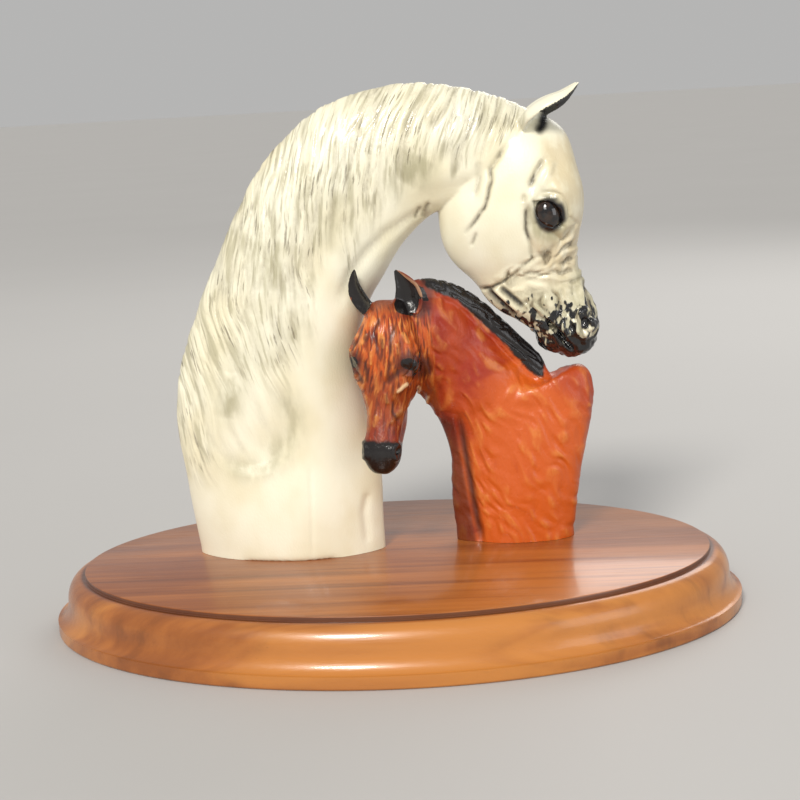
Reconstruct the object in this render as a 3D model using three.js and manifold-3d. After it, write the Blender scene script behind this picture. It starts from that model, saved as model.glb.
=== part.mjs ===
// Mare and foal trophy: two painted horse busts, each one casting, on an oval hardwood base.
// Millimetres, +Z up. The origin is the middle of the base's underside. +X runs along the base from the mare
// to the foal, and -Y is the front, the side on which the mane hangs.

import * as THREE from "three";
import Module from "manifold-3d";

// Driving dimensions of the base
const BASE_LENGTH = 304.8;
const BASE_WIDTH = 213;
const BASE_THICKNESS = 26;
const QUIRK_DEPTH = 2; // the small step round the flat top
const QUIRK_LEDGE = 1.2;
const OVOLO_WIDTH = 7; // the round upper half of the ogee
const OVOLO_DROP = 9.6;
const COVE_WIDTH = 5.2; // its hollow lower half
const COVE_DROP = 8.6;
const FOOT_BEVEL = 1.2; // the eased edge at the underside
const BASE_SIDES = 56;
const CURVE_STEPS = 3; // facets in each half of the ogee
const GLUE_LINE = 0.3; // between the base and what stands on it

// Driving dimension of the sculpture: from the base's top to the top of the mare's arched crest. The two
// busts are carved to touch almost everywhere, so their pose and carving are shares of it.
const MARE_HEIGHT = 206;
const MARE = {
  height: MARE_HEIGHT,
  head: 0.524 * MARE_HEIGHT, // from the poll to the lips
  place: new THREE.Vector2(-0.223, 0.063).multiplyScalar(MARE_HEIGHT), // middle of the foot
};
const FOAL = {
  height: 0.563 * MARE_HEIGHT, // to the crest behind the ears
  head: 0.364 * MARE_HEIGHT,
  place: new THREE.Vector2(0.262, 0.087).multiplyScalar(MARE_HEIGHT),
};

const FOOT_LEVEL = BASE_THICKNESS + GLUE_LINE;

const wasm = await Module();
wasm.setup();

// A closed mesh as a solid, turned right side out.
function solidOf(positions, faces) {
  const make = (triVerts) =>
    new wasm.Manifold(new wasm.Mesh({ numProp: 3, vertProperties: new Float32Array(positions), triVerts }));
  const made = make(new Uint32Array(faces));
  return made.volume() > 0 ? made : make(new Uint32Array(faces).reverse());
}

// A closed skin over rings of points. Each ring has as many points as the next, and the two ends are flat.
function skin(rings) {
  const count = rings[0].length;
  const points = rings.flat();
  const faces = [];
  for (let i = 0; i + 1 < rings.length; i++)
    for (let j = 0; j < count; j++) {
      const here = i * count + j;
      const beside = i * count + ((j + 1) % count);
      faces.push(here, beside, beside + count, here, beside + count, here + count);
    }
  for (const [ring, first] of [[rings[0], 0], [rings.at(-1), points.length - count]]) {
    const middle = ring.reduce((sum, p) => sum.add(p), new THREE.Vector3()).divideScalar(count);
    const hub = points.push(middle) - 1;
    for (let j = 0; j < count; j++) {
      const pair = [first + j, first + ((j + 1) % count)];
      faces.push(hub, ...(first === 0 ? pair.reverse() : pair));
    }
  }
  return solidOf(points.flatMap((p) => p.toArray()), faces);
}

// A three.js geometry's own solid: its corners are merged, so that its faces share them.
function closed(geometry, matrix) {
  const source = geometry.toNonIndexed().applyMatrix4(matrix).getAttribute("position");
  const seen = new Map();
  const positions = [];
  const corners = [];
  for (let i = 0; i < source.count; i++) {
    const p = [source.getX(i), source.getY(i), source.getZ(i)];
    const key = p.map((x) => Math.round(x * 1e3)).join();
    if (!seen.has(key)) {
      seen.set(key, positions.length / 3);
      positions.push(...p);
    }
    corners.push(seen.get(key));
  }
  const faces = [];
  for (let i = 0; i < corners.length; i += 3) {
    const [a, b, c] = corners.slice(i, i + 3);
    if (a !== b && b !== c && c !== a) faces.push(a, b, c);
  }
  return solidOf(positions, faces);
}

function mesh(name, solid, material) {
  const made = solid.getMesh();
  const geometry = new THREE.BufferGeometry();
  geometry.setAttribute("position", new THREE.BufferAttribute(new Float32Array(made.vertProperties), 3));
  geometry.setIndex(new THREE.BufferAttribute(new Uint32Array(made.triVerts), 1));
  const node = new THREE.Mesh(geometry.toNonIndexed(), material);
  node.geometry.computeVertexNormals();
  node.name = name;
  return node;
}

// Smooth value at a place between the rows of a table, where at counts rows from 0.
function between(rows, at) {
  const i = Math.min(Math.max(Math.floor(at), 0), rows.length - 2);
  const row = (k) => rows[Math.min(Math.max(k, 0), rows.length - 1)];
  const t = at - i;
  return row(i).map((p1, k) => {
    const [p0, p2, p3] = [row(i - 1)[k], row(i + 1)[k], row(i + 2)[k]];
    const slopes = [(p2 - p0) / 2, (p3 - p1) / 2];
    return THREE.MathUtils.lerp(p1, p2, t * t * (3 - 2 * t))
      + slopes[0] * t * (1 - t) ** 2 - slopes[1] * t * t * (1 - t);
  });
}

const bell = (x, reach) => Math.exp(-((x / reach) ** 2));

// One section across a form, from its back line at high to its front line at low. The shape has a widest
// level, from -1 at the front line to 1 at the back line, and how square the parts above and below it are.
// relief adds to the half width, and gets each point's level and its side, 1 for the near side.
function section(high, low, across, halfWidth, shape, counts, relief) {
  const EVEN_STEPS = 0.35; // more points along the flat sides than round the two ends
  const middle = high.clone().add(low).divideScalar(2);
  const half = high.clone().sub(middle);
  const points = [];
  [1, -1].forEach((side, pass) => {
    for (let k = 0; k < counts[pass]; k++) {
      const u = k / counts[pass];
      const turn = Math.PI * (0.5 - u - (EVEN_STEPS * Math.sin(2 * Math.PI * u)) / (2 * Math.PI)) * side;
      const power = 2 / (Math.sin(turn) > 0 ? shape.roof : shape.keel);
      const up = Math.sign(Math.sin(turn)) * Math.abs(Math.sin(turn)) ** power;
      const level = shape.widest + up * (up > 0 ? 1 - shape.widest : 1 + shape.widest);
      const out = Math.max(Math.cos(turn), 0) ** power;
      const width = halfWidth * out + (relief ? relief(level, side, out) : 0);
      points.push(middle.clone().addScaledVector(half, level).addScaledVector(across, side * width));
    }
  });
  return points;
}

// The oval base: one outline, set in from the edge by the ogee's profile, ring above ring.
function makeBase() {
  const stepIn = QUIRK_LEDGE + OVOLO_WIDTH + COVE_WIDTH;
  const shoulder = BASE_THICKNESS - QUIRK_DEPTH;
  const coveTop = shoulder - OVOLO_DROP;
  const profile = [[FOOT_BEVEL, 0], [0, FOOT_BEVEL]];
  const turns = Array.from({ length: CURVE_STEPS + 1 }, (_, k) => (Math.PI / 2) * (k / CURVE_STEPS));
  for (const t of turns) profile.push([COVE_WIDTH * Math.sin(t), coveTop - COVE_DROP * Math.cos(t)]);
  for (const t of turns.slice(1))
    profile.push([COVE_WIDTH + OVOLO_WIDTH * (1 - Math.cos(t)), coveTop + OVOLO_DROP * Math.sin(t)]);
  profile.push([stepIn, shoulder], [stepIn, BASE_THICKNESS]);
  const [a, b] = [BASE_LENGTH / 2, BASE_WIDTH / 2];
  const rings = profile.map(([inset, z]) =>
    Array.from({ length: BASE_SIDES }, (_, k) => {
      const turn = (2 * Math.PI * k) / BASE_SIDES;
      const normal = new THREE.Vector3(Math.cos(turn) / a, Math.sin(turn) / b, 0).normalize();
      return new THREE.Vector3(a * Math.cos(turn), b * Math.sin(turn), z).addScaledVector(normal, -inset);
    }));
  return skin(rings);
}

// A neck, or another form that stands in a bust's own side plane. Each row has the back line's point, the
// front line's point, the half width, and how far the section lies in front of the plane, all in hundredths
// of the bust's height. perRow rings are made for each row.
function makeNeck(bust, rows, shape, perRow, counts, relief) {
  const unit = bust.height / 100;
  const points = (t) => {
    const [backX, backZ, frontX, frontZ, width, backOut, frontOut] = between(rows, t);
    return {
      high: bustPoint(bust, backX, backOut, backZ),
      low: bustPoint(bust, frontX, frontOut, frontZ),
      width: width * unit,
    };
  };
  const steps = Math.round((rows.length - 1) * perRow);
  const rings = [];
  for (let i = 0; i <= steps; i++) {
    const t = ((rows.length - 1) * i) / steps;
    const { high, low, width } = points(t);
    const before = points(Math.max(t - 0.2, 0));
    const after = points(Math.min(t + 0.2, rows.length - 1));
    const along = after.high.add(after.low).sub(before.high).sub(before.low);
    const across = new THREE.Vector3().crossVectors(along, high.clone().sub(low)).normalize();
    if (across.y > 0) across.negate();
    const local = relief && ((level, side, out) => {
      const on = high.clone().add(low).addScaledVector(high.clone().sub(low), level).divideScalar(2);
      const [x, z] = [(on.x - bust.place.x) / unit, (on.z - FOOT_LEVEL) / unit];
      return relief({ t, level, side, out, unit, x, z });
    });
    rings.push(section(high, low, across, width, shape(t / (rows.length - 1)), counts, local));
  }
  return skin(rings);
}

// A point of a bust, from hundredths of its height: along the base, to the front of the side plane, and up.
function bustPoint(bust, x, front, z) {
  const unit = bust.height / 100;
  return new THREE.Vector3(bust.place.x + x * unit, bust.place.y - front * unit, FOOT_LEVEL + z * unit);
}

// The frame of a head: its poll, and unit vectors along the face, out of the forehead and to the near side.
function headFrame(bust, pose) {
  const along = new THREE.Vector3(...pose.along).normalize();
  const forehead = new THREE.Vector3(...pose.near).cross(along).normalize();
  const side = along.clone().cross(forehead);
  return { poll: bustPoint(bust, ...pose.poll), along, forehead, side, length: bust.head };
}

function headPoint(head, along, up, out) {
  return head.poll.clone().addScaledVector(head.along, along * head.length)
    .addScaledVector(head.forehead, up * head.length).addScaledVector(head.side, out * head.length);
}

// Sections of a fine-boned horse's head, in shares of its length: place from the poll to the lips, forehead
// line, jaw line, half width, widest level, and how square the roof and the keel are.
const HEAD_SECTIONS = [
  [0.0, 0.07, -0.12, 0.085, 0.0, 2.0, 2.0],
  [0.055, 0.15, -0.2, 0.115, 0.0, 2.0, 2.0],
  [0.115, 0.195, -0.28, 0.14, 0.1, 2.1, 2.0],
  [0.18, 0.213, -0.35, 0.16, 0.25, 2.2, 2.1],
  [0.26, 0.211, -0.405, 0.174, 0.4, 2.3, 2.2],
  [0.34, 0.2, -0.427, 0.178, 0.5, 2.4, 2.3],
  [0.42, 0.172, -0.432, 0.17, 0.52, 2.4, 2.3],
  [0.5, 0.134, -0.408, 0.152, 0.45, 2.3, 2.3],
  [0.57, 0.095, -0.362, 0.13, 0.3, 2.2, 2.2],
  [0.63, 0.083, -0.334, 0.115, 0.15, 2.2, 2.2],
  [0.7, 0.088, -0.299, 0.107, 0.05, 2.3, 2.2],
  [0.77, 0.092, -0.246, 0.106, 0.1, 2.4, 2.2],
  [0.83, 0.096, -0.191, 0.11, 0.2, 2.5, 2.2],
  [0.89, 0.09, -0.158, 0.11, 0.25, 2.5, 2.2],
  [0.94, 0.07, -0.13, 0.096, 0.2, 2.4, 2.1],
  [0.98, 0.043, -0.09, 0.07, 0.1, 2.2, 2.0],
  [1.0, 0.015, -0.05, 0.035, 0.0, 2.0, 2.0],
];

// Swellings and hollows on each side of a head: place along it, height over its axis, reach each way, and
// how far they stand out, in shares of its length.
const HEAD_RELIEF = [
  { along: 0.36, up: -0.25, reach: [0.13, 0.12], out: 0.02 }, // cheek
  { along: 0.62, up: -0.2, reach: [0.05, 0.1], out: -0.02 }, // hollow before the cheek
  { along: 0.55, up: -0.05, reach: [0.1, 0.02], out: 0.013 }, // facial crest
  { along: 0.66, up: 0.03, reach: [0.07, 0.03], out: -0.008 }, // side of the nose
  { along: 0.865, up: 0.05, reach: [0.045, 0.04], out: 0.024 }, // nostril
  { along: 0.79, up: -0.03, reach: [0.04, 0.03], out: -0.01 }, // hollow behind the nostril
  { along: 0.91, up: -0.075, reach: [0.06, 0.035], out: 0.012 }, // upper lip
  { along: 0.78, up: -0.2, reach: [0.08, 0.03], out: 0.01 }, // lower jaw
];

// The same around an eye, with places measured from the eye's middle.
const EYE_RELIEF = [
  { along: -0.061, up: 0.073, reach: [0.06, 0.035], out: 0.03 }, // brow
  { along: 0.004, up: 0.008, reach: [0.06, 0.045], out: -0.026 }, // socket
  { along: 0.074, up: -0.032, reach: [0.045, 0.03], out: 0.014 }, // lower rim of the socket
  { along: -0.166, up: 0.093, reach: [0.055, 0.03], out: -0.018 }, // hollow over the eye
];

function makeHead(head, build, rings, counts) {
  const [eyeAlong, eyeUp] = build.eye.place;
  const aroundEye = EYE_RELIEF.map((r) => ({ ...r, along: r.along + eyeAlong, up: r.up + eyeUp }));
  const forms = [...HEAD_RELIEF, ...aroundEye];
  const rows = HEAD_SECTIONS.map((row) => {
    const [along, top, bottom, width, widest, roof, keel] = row;
    const dome = build.dome * bell(along - 0.22, 0.16) + build.dish * bell(along - 0.6, 0.12);
    const deep = 1 + (build.jowl - 1) * bell(along - 0.38, 0.25);
    const wide = 1 + build.brow * bell(along - 0.3, 0.2) + build.muzzle * bell(along - 0.9, 0.15);
    return [along, top + dome, bottom * deep, width * wide, widest, roof, keel];
  });
  const sections = Array.from({ length: rings }, (_, i) => {
    const at = ((rows.length - 1) * i) / (rings - 1);
    const [along, top, bottom, width, widest, roof, keel] = between(rows, at);
    const relief = (level, side, out) => {
      const up = (top + bottom) / 2 + (level * (top - bottom)) / 2;
      const swell = forms.reduce((sum, r) =>
        sum + r.out * bell(along - r.along, r.reach[0]) * bell(up - r.up, r.reach[1]), 0);
      return swell * out * head.length;
    };
    return section(headPoint(head, along, top, 0), headPoint(head, along, bottom, 0), head.side,
      width * head.length, { widest, roof, keel }, counts, relief);
  });
  return skin(sections);
}

// An ear as a cupped leaf: rings that are round at the back and hollow in front, along a curved stem.
function makeEar(head, side, ear) {
  const [STEPS, EDGE] = [7, 7];
  const swayed = ([a, u, o], k) => headPoint(head, a, u, o * side + (ear.sway * k) / ear.stem.length);
  const stem = new THREE.CatmullRomCurve3(ear.stem.map(swayed));
  const outward = ear.opening[2] + (side > 0 ? ear.nearTurn : 0);
  const width = side > 0 ? ear.nearWidth : ear.width;
  const opening = head.along.clone().multiplyScalar(ear.opening[0])
    .addScaledVector(head.forehead, ear.opening[1]).addScaledVector(head.side, outward * side);
  const rings = [];
  for (let i = 0; i <= STEPS; i++) {
    const t = i / STEPS;
    const tangent = stem.getTangent(t);
    const front = opening.clone().addScaledVector(tangent, -opening.dot(tangent)).normalize();
    const wide = new THREE.Vector3().crossVectors(tangent, front);
    const leaf = Math.max(Math.sin(Math.PI * (0.27 + 0.7 * t)) ** 0.9, 0.12) * width * head.length;
    const thick = leaf * 0.62;
    const cup = thick * 1.1 * Math.min(1, 4 * t) * (1 - 0.4 * t);
    const centre = stem.getPoint(t);
    const rim = (k) => -Math.cos((Math.PI * k) / EDGE);
    const ring = [];
    for (let k = 0; k <= EDGE; k++)
      ring.push([rim(k), -thick * Math.sqrt(Math.max(1 - rim(k) ** 2, 0))]);
    for (let k = EDGE - 1; k > 0; k--)
      ring.push([rim(k), thick * 0.3 - cup * (1 - rim(k) ** 2)]);
    const place = ([w, d]) => centre.clone().addScaledVector(wide, w * leaf).addScaledVector(front, d);
    rings.push(ring.map(place));
  }
  return skin(rings);
}

// A ball squashed into an ellipsoid on a head, tilted in the head's side plane.
function ellipsoid(head, { place, radii, tilt = 0 }, outward, detail) {
  const matrix = new THREE.Matrix4().makeBasis(head.along, head.forehead, head.side)
    .multiply(new THREE.Matrix4().makeRotationZ(THREE.MathUtils.degToRad(tilt)))
    .scale(new THREE.Vector3(...radii).multiplyScalar(head.length))
    .setPosition(headPoint(head, place[0], place[1], place[2] * outward));
  return closed(new THREE.SphereGeometry(1, ...detail), matrix);
}

const MARE_EYE = { place: [0.396, 0.012, 0.146], radii: [0.062, 0.05, 0.04], tilt: 10 };
const FOAL_EYE = { ...MARE_EYE, place: [0.36, 0.02, 0.146] };
const NOSTRIL = { place: [0.868, 0.045, 0.132], radii: [0.036, 0.017, 0.024], tilt: 35 };
const MOUTH = { place: [0.9, -0.072, 0.1], radii: [0.1, 0.009, 0.035], tilt: 24 };
const CHIN = { place: [0.895, -0.125, 0], radii: [0.07, 0.045, 0.07], tilt: 20 };

function dressHead(head, solid, build) {
  let made = solid.add(ellipsoid(head, CHIN, 1, [12, 8]));
  for (const side of [1, -1]) {
    const atMuzzle = side * (1 + build.muzzle);
    made = made.subtract(ellipsoid(head, MOUTH, atMuzzle, [10, 6]));
    made = made.subtract(ellipsoid(head, NOSTRIL, atMuzzle, [8, 6]));
    made = made.add(ellipsoid(head, build.eye, side * (1 + build.brow), [12, 8]));
    made = made.add(makeEar(head, side, build.ear));
  }
  return made;
}

// The mare's neck: back line, front line, half width, then the bend out of her side plane.
const MARE_ROWS = [
  [-21.4, 0, 20.4, 0, 10.8, -0.8, 1.8],
  [-22.3, 6.8, 20.3, 7.8, 10.8, -0.5, 1.4],
  [-23.6, 18.5, 20.3, 17, 10.6, 0, 0.6],
  [-24.6, 32, 18.3, 28.2, 10.2, 0, 0],
  [-21.4, 46.6, 16.7, 38.8, 9.9, 0, 0],
  [-15.5, 59.7, 17.4, 47.6, 9.5, 0, 0],
  [-8.7, 73.8, 19.9, 54.4, 9.1, 0, 0],
  [0, 86.9, 22.8, 58.9, 8.8, 0, 0],
  [12.4, 96.3, 25.4, 63.1, 8.5, 0, 0],
  [28.6, 99.9, 28.4, 67, 8.3, 0, 0],
  [43.2, 97.8, 34, 71.8, 8.1, 0, 0],
  [52.4, 94.5, 42.2, 74.5, 7.4, 0, 0],
  [57.6, 90.8, 49, 76, 6, 0, 0],
];

// The mane hangs from the crest on the near side as broad locks with creases between them.
const MANE = {
  lockWidth: 15, depth: 0.6, lean: 0.22, wave: 1.6, waveLength: 34, ends: [14, 34], reach: -0.05,
};

// Muscles and hollows of the mare's neck: place, reach each way, and how far they stand out, in hundredths.
const MARE_RELIEF = [
  { x: -3, z: 24, reach: [4.5, 5], out: -1.1 }, // hollow before the shoulder
  { x: 8, z: 12, reach: [7, 10], out: 0.8 }, // breast
  { x: -12, z: 8, reach: [7, 9], out: 0.7 }, // shoulder
  { x: 7, z: 60, reach: [6, 10], out: -0.7 }, // between the neck's muscles
  { x: 24, z: 76, reach: [9, 5], out: -0.6 },
];

const swelling = (forms, x, z) =>
  forms.reduce((sum, r) => sum + r.out * bell(x - r.x, r.reach[0]) * bell(z - r.z, r.reach[1]), 0);

function mareRelief({ x, z, level, side, out, unit }) {
  const swell = swelling(MARE_RELIEF, x, z);
  const windpipe = -0.7 * bell(level + 0.62, 0.13) * THREE.MathUtils.smoothstep(z, 45, 58);
  if (side < 0) return (swell + windpipe) * out * unit;
  const cover = THREE.MathUtils.smoothstep(level, MANE.reach, MANE.reach + 0.3)
    * THREE.MathUtils.smoothstep(z, ...MANE.ends);
  const strand = x - MANE.lean * z + MANE.wave * Math.sin((2 * Math.PI * z) / MANE.waveLength);
  const lock = Math.sin((Math.PI * strand) / MANE.lockWidth) ** 2;
  return ((swell + windpipe) * out + MANE.depth * cover * lock) * unit;
}

// A neck's section is widest towards the front line, and narrow at the crest.
const neckShape = (t) => ({
  widest: -0.1 - 0.12 * Math.sin(Math.PI * t),
  roof: 1.75 + 0.15 * t,
  keel: THREE.MathUtils.lerp(1.65, 2.2, THREE.MathUtils.smoothstep(t, 0.05, 0.4)),
});

const foalShape = (t) => ({ ...neckShape(t), roof: 2.15, widest: 0 });

function makeMare() {
  const neck = makeNeck(MARE, MARE_ROWS, neckShape, 3.6, [18, 8], mareRelief);
  const head = headFrame(MARE, { poll: [52.4, 0, 91.3], along: [0.24, 0, -0.971], near: [0, -1, 0] });
  const build = {
    dome: -0.032, dish: -0.008, jowl: 1, brow: 0, muzzle: 0, eye: MARE_EYE,
    ear: {
      stem: [[0.05, 0.02, 0.08], [0.015, 0.11, 0.115], [-0.005, 0.2, 0.115], [-0.055, 0.275, 0.1]],
      opening: [1, 0.3, 0.2], width: 0.088, sway: 0, nearTurn: 0, nearWidth: 0.088,
    },
  };
  return neck.add(dressHead(head, makeHead(head, build, 34, [17, 11]), build));
}

// The foal's neck, from its foot to behind its head, which turns to the front.
const FOAL_ROWS = [
  [23.3, 0, -23.3, 0, 11, 0, 0],
  [25.9, 19, -24.6, 14, 11.4, 0, 0],
  [29.7, 37.9, -24.3, 25.5, 11.6, 0, 0],
  [33.2, 53.4, -24.3, 33, 11.4, 0, 0],
  [31.9, 64.7, -25.1, 38.4, 11, 0, 0],
  [25.9, 67.8, -26.4, 42.8, 10.8, 0, 0],
  [18.1, 63.2, -28, 47, 10.8, 0, 0],
  [11.2, 61.4, -30, 51, 10.8, 0, 0.5],
  [5.6, 66.4, -32.3, 55, 10.8, 0, 1],
  [-2.6, 76.7, -34.8, 58.8, 10.4, 1, 3],
  [-10.8, 85.8, -36.8, 62, 10.2, 3.5, 6],
  [-19, 94.4, -38.8, 65, 9.8, 8, 9.5],
  [-29.3, 99.5, -40.5, 67.6, 9.2, 13.5, 13],
  [-38.8, 98.5, -42.2, 69.8, 7.5, 18, 16],
];

// The foal's mane: a short upright fringe along the crest.
const FRINGE_ROWS = [
  [17, 63, 14, 58, 2.4, 0, 0],
  [13.5, 72.5, 8, 62, 3.6, 0, 0],
  [6, 80, 0, 70, 4, 0.5, 0.5],
  [-2, 89, -8, 79, 4.2, 2, 2],
  [-10, 97, -16, 86, 4.2, 5, 5],
  [-19, 103, -23, 92, 4, 9, 9],
  [-29, 106, -31, 95, 3.6, 14, 14],
  [-37, 104.5, -38, 95, 2.6, 18, 18],
];

// Muscles and hollows of the foal's neck, in hundredths of its height.
const FOAL_RELIEF = [
  { x: -14, z: 12, reach: [2.2, 22], out: -1.6 }, // groove beside the breast
  { x: 8, z: 22, reach: [9, 14], out: 1 }, // shoulder
  { x: 14, z: 52, reach: [9, 6], out: -1 }, // before the withers
  { x: -10, z: 62, reach: [5, 9], out: 0.8 }, // muscle of the neck
];

const foalRelief = ({ x, z, out, unit }) => unit * out * swelling(FOAL_RELIEF, x, z);

function makeFoal() {
  const neck = makeNeck(FOAL, FOAL_ROWS, foalShape, 2, [13, 9], foalRelief);
  const ragged = ({ t, out, level, unit }) => (level > 0 ? 0.5 * out * Math.sin(t * 5) * unit : 0);
  const fringe = makeNeck(FOAL, FRINGE_ROWS, () => ({ widest: -0.3, roof: 1.6, keel: 2 }), 2, [4, 4], ragged);
  const head = headFrame(FOAL, {
    poll: [-43, 20, 97.5], along: [-0.093, -0.22, -0.971], near: [-0.985, 0.174, 0],
  });
  const build = {
    dome: 0.015, dish: 0.02, jowl: 0.92, brow: 0.06, muzzle: -0.06, eye: FOAL_EYE,
    ear: {
      stem: [[0.07, 0.02, 0.11], [0.0, 0.04, 0.15], [-0.08, 0.06, 0.155], [-0.165, 0.09, 0.12]],
      opening: [0.25, 1, 0.1], width: 0.086, sway: 0.1, nearTurn: 0.45, nearWidth: 0.062,
    },
  };
  return neck.add(fringe).add(dressHead(head, makeHead(head, build, 26, [11, 11]), build));
}

const wood = new THREE.MeshStandardMaterial({ color: new THREE.Color(0.45, 0.2, 0.07), roughness: 0.3 });
const greyCoat = new THREE.MeshStandardMaterial({ color: new THREE.Color(0.85, 0.82, 0.7), roughness: 0.45 });
const bayCoat = new THREE.MeshStandardMaterial({ color: new THREE.Color(0.5, 0.13, 0.03), roughness: 0.35 });

const trophy = new THREE.Group();
trophy.add(mesh("oval_base", makeBase(), wood));
trophy.add(mesh("mare_bust", makeMare(), greyCoat));
trophy.add(mesh("foal_bust", makeFoal(), bayCoat));

export default trophy;
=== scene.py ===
"""Mare and foal trophy: two painted horse busts on an oval hardwood base.

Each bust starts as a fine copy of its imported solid, is carved with the sculptor's tools below and painted
through attributes that its material reads. The base is modelled anew with a smooth moulded edge.
"""

import functools
import itertools
import logging
import math
from dataclasses import dataclass, field
from enum import Enum

import bmesh
import bpy
import numpy as np
from mathutils import Matrix, Vector


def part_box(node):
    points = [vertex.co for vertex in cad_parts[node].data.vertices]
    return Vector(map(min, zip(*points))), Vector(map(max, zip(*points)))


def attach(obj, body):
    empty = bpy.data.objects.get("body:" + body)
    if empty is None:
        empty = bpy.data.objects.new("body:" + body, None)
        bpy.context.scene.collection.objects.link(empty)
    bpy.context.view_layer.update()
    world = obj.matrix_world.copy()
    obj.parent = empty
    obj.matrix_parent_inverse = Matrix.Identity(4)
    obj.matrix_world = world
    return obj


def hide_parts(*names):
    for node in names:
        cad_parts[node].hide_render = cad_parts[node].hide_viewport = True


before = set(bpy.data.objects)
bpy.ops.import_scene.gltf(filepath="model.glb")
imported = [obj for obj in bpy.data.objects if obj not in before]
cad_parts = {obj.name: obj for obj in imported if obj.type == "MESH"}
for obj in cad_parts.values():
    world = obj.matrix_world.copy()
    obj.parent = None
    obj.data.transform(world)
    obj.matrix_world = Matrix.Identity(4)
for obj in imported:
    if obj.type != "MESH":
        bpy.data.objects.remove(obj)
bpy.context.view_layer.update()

logging.basicConfig(level=logging.INFO, format="%(message)s")
log = logging.getLogger("trophy")

MM = 0.001
BODY = "root"
MARE_TOP = 0.999  # how much of the height that she is drawn to the mare reaches
FAR_AWAY = 9.0  # stands for a distance where a shape isn't


# The sculptor's arithmetic


def smooth(value: np.ndarray, low: float, high: float) -> np.ndarray:
    """Rises smoothly from 0 at low to 1 at high.

    Args:
        value: The numbers to grade.
        low: Where the result is 0.
        high: Where it is 1; it may be less than low.

    Returns:
        A number from 0 to 1 for each value.
    """
    part = np.clip((value - low) / (high - low), 0, 1)
    return part * part * (3 - 2 * part)


def bell(distance: np.ndarray, reach: float) -> np.ndarray:
    """A round hump of height 1 that fades out over reach."""
    return np.exp(-((distance / reach) ** 2))


def most(*amounts: np.ndarray) -> np.ndarray:
    """The greatest of the amounts at each point."""
    return np.maximum.reduce(amounts)


def abreast(*columns: np.ndarray) -> np.ndarray:
    """Columns of numbers as one row a point."""
    return np.stack(columns, axis=1)


def oval(first: np.ndarray, second: np.ndarray, middle: tuple, radii: tuple) -> np.ndarray:
    """How far each place is from an oval's middle: 1 on the oval."""
    return np.hypot((first - middle[0]) / radii[0], (second - middle[1]) / radii[1])


def triples(items: bpy.types.bpy_prop_collection, name: str) -> np.ndarray:
    """Reads three numbers from each item of a mesh.

    Args:
        items: The mesh's vertices, normals or faces.
        name: Which of their numbers.

    Returns:
        One row an item.
    """
    numbers = np.empty(len(items) * 3, dtype=np.float32)
    items.foreach_get(name, numbers)
    return numbers.reshape(-1, 3).astype(float)


def add_to_scene(name: str, data: bpy.types.ID) -> bpy.types.Object:
    """Adds an object with its data to the scene.

    Args:
        name: The object's name.
        data: Its mesh, lamp or camera.

    Returns:
        The object.
    """
    added = bpy.data.objects.new(name, data)
    bpy.context.scene.collection.objects.link(added)
    return added


def lattice_noise(points: np.ndarray, seed: int) -> np.ndarray:
    """Soft noise from -1 to 1 with cells of size 1.

    Args:
        points: One row of coordinates a point.
        seed: Which noise.

    Returns:
        One number a point.
    """
    cell = np.floor(points).astype(np.int64)
    ease = smooth(points - cell, 0, 1)
    total = np.zeros(len(points))
    for corner in itertools.product((0, 1), repeat=points.shape[1]):
        key = (cell + corner) @ np.array((73856093, 19349663, 83492791))[: points.shape[1]]
        key = (key + seed * 2654435761) & 0x7FFFFFFF
        key = ((key ^ (key >> 13)) * 1274126177) & 0x7FFFFFFF
        key = key ^ (key >> 16)
        weight = np.prod(np.where(corner, ease, 1 - ease), axis=1)
        total += weight * ((key & 0xFFFF) / 32767.5 - 1)
    return total


def path_reach(points: np.ndarray, path: tuple, width: float) -> np.ndarray:
    """How much a tool drawn along a path touches each point, tapered at the path's ends.

    Args:
        points: One row of two coordinates a point.
        path: The corners of the tool's way.
        width: Half the tool's width.

    Returns:
        From 0, untouched, to 1, on the path.
    """
    best = np.zeros(len(points))
    count = len(path) - 1
    for number, (start, end) in enumerate(zip(path, path[1:])):
        start, end = np.array(start), np.array(end)
        way = end - start
        part = np.clip((points - start) @ way / (way @ way), 0, 1)
        distance = np.linalg.norm(points - start - part[:, None] * way, axis=1)
        done = (number + part) / count
        taper = 1 - np.abs(2 * done - 1) ** 6
        best = np.maximum(best, bell(distance, width) * (0.25 + 0.75 * taper))
    return best


@dataclass(frozen=True)
class Line:
    """A line cut into the skin, or raised from it where the depth is negative.

    The path and width are in the coordinates of what it is drawn on, and the depth is in millimetres.
    """

    path: tuple
    width: float
    depth: float

    def touch(self, places: np.ndarray) -> np.ndarray:
        """How much the tool touches each place, from 0 to 1."""
        return path_reach(places, self.path, self.width)


# The skin of a bust


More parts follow.
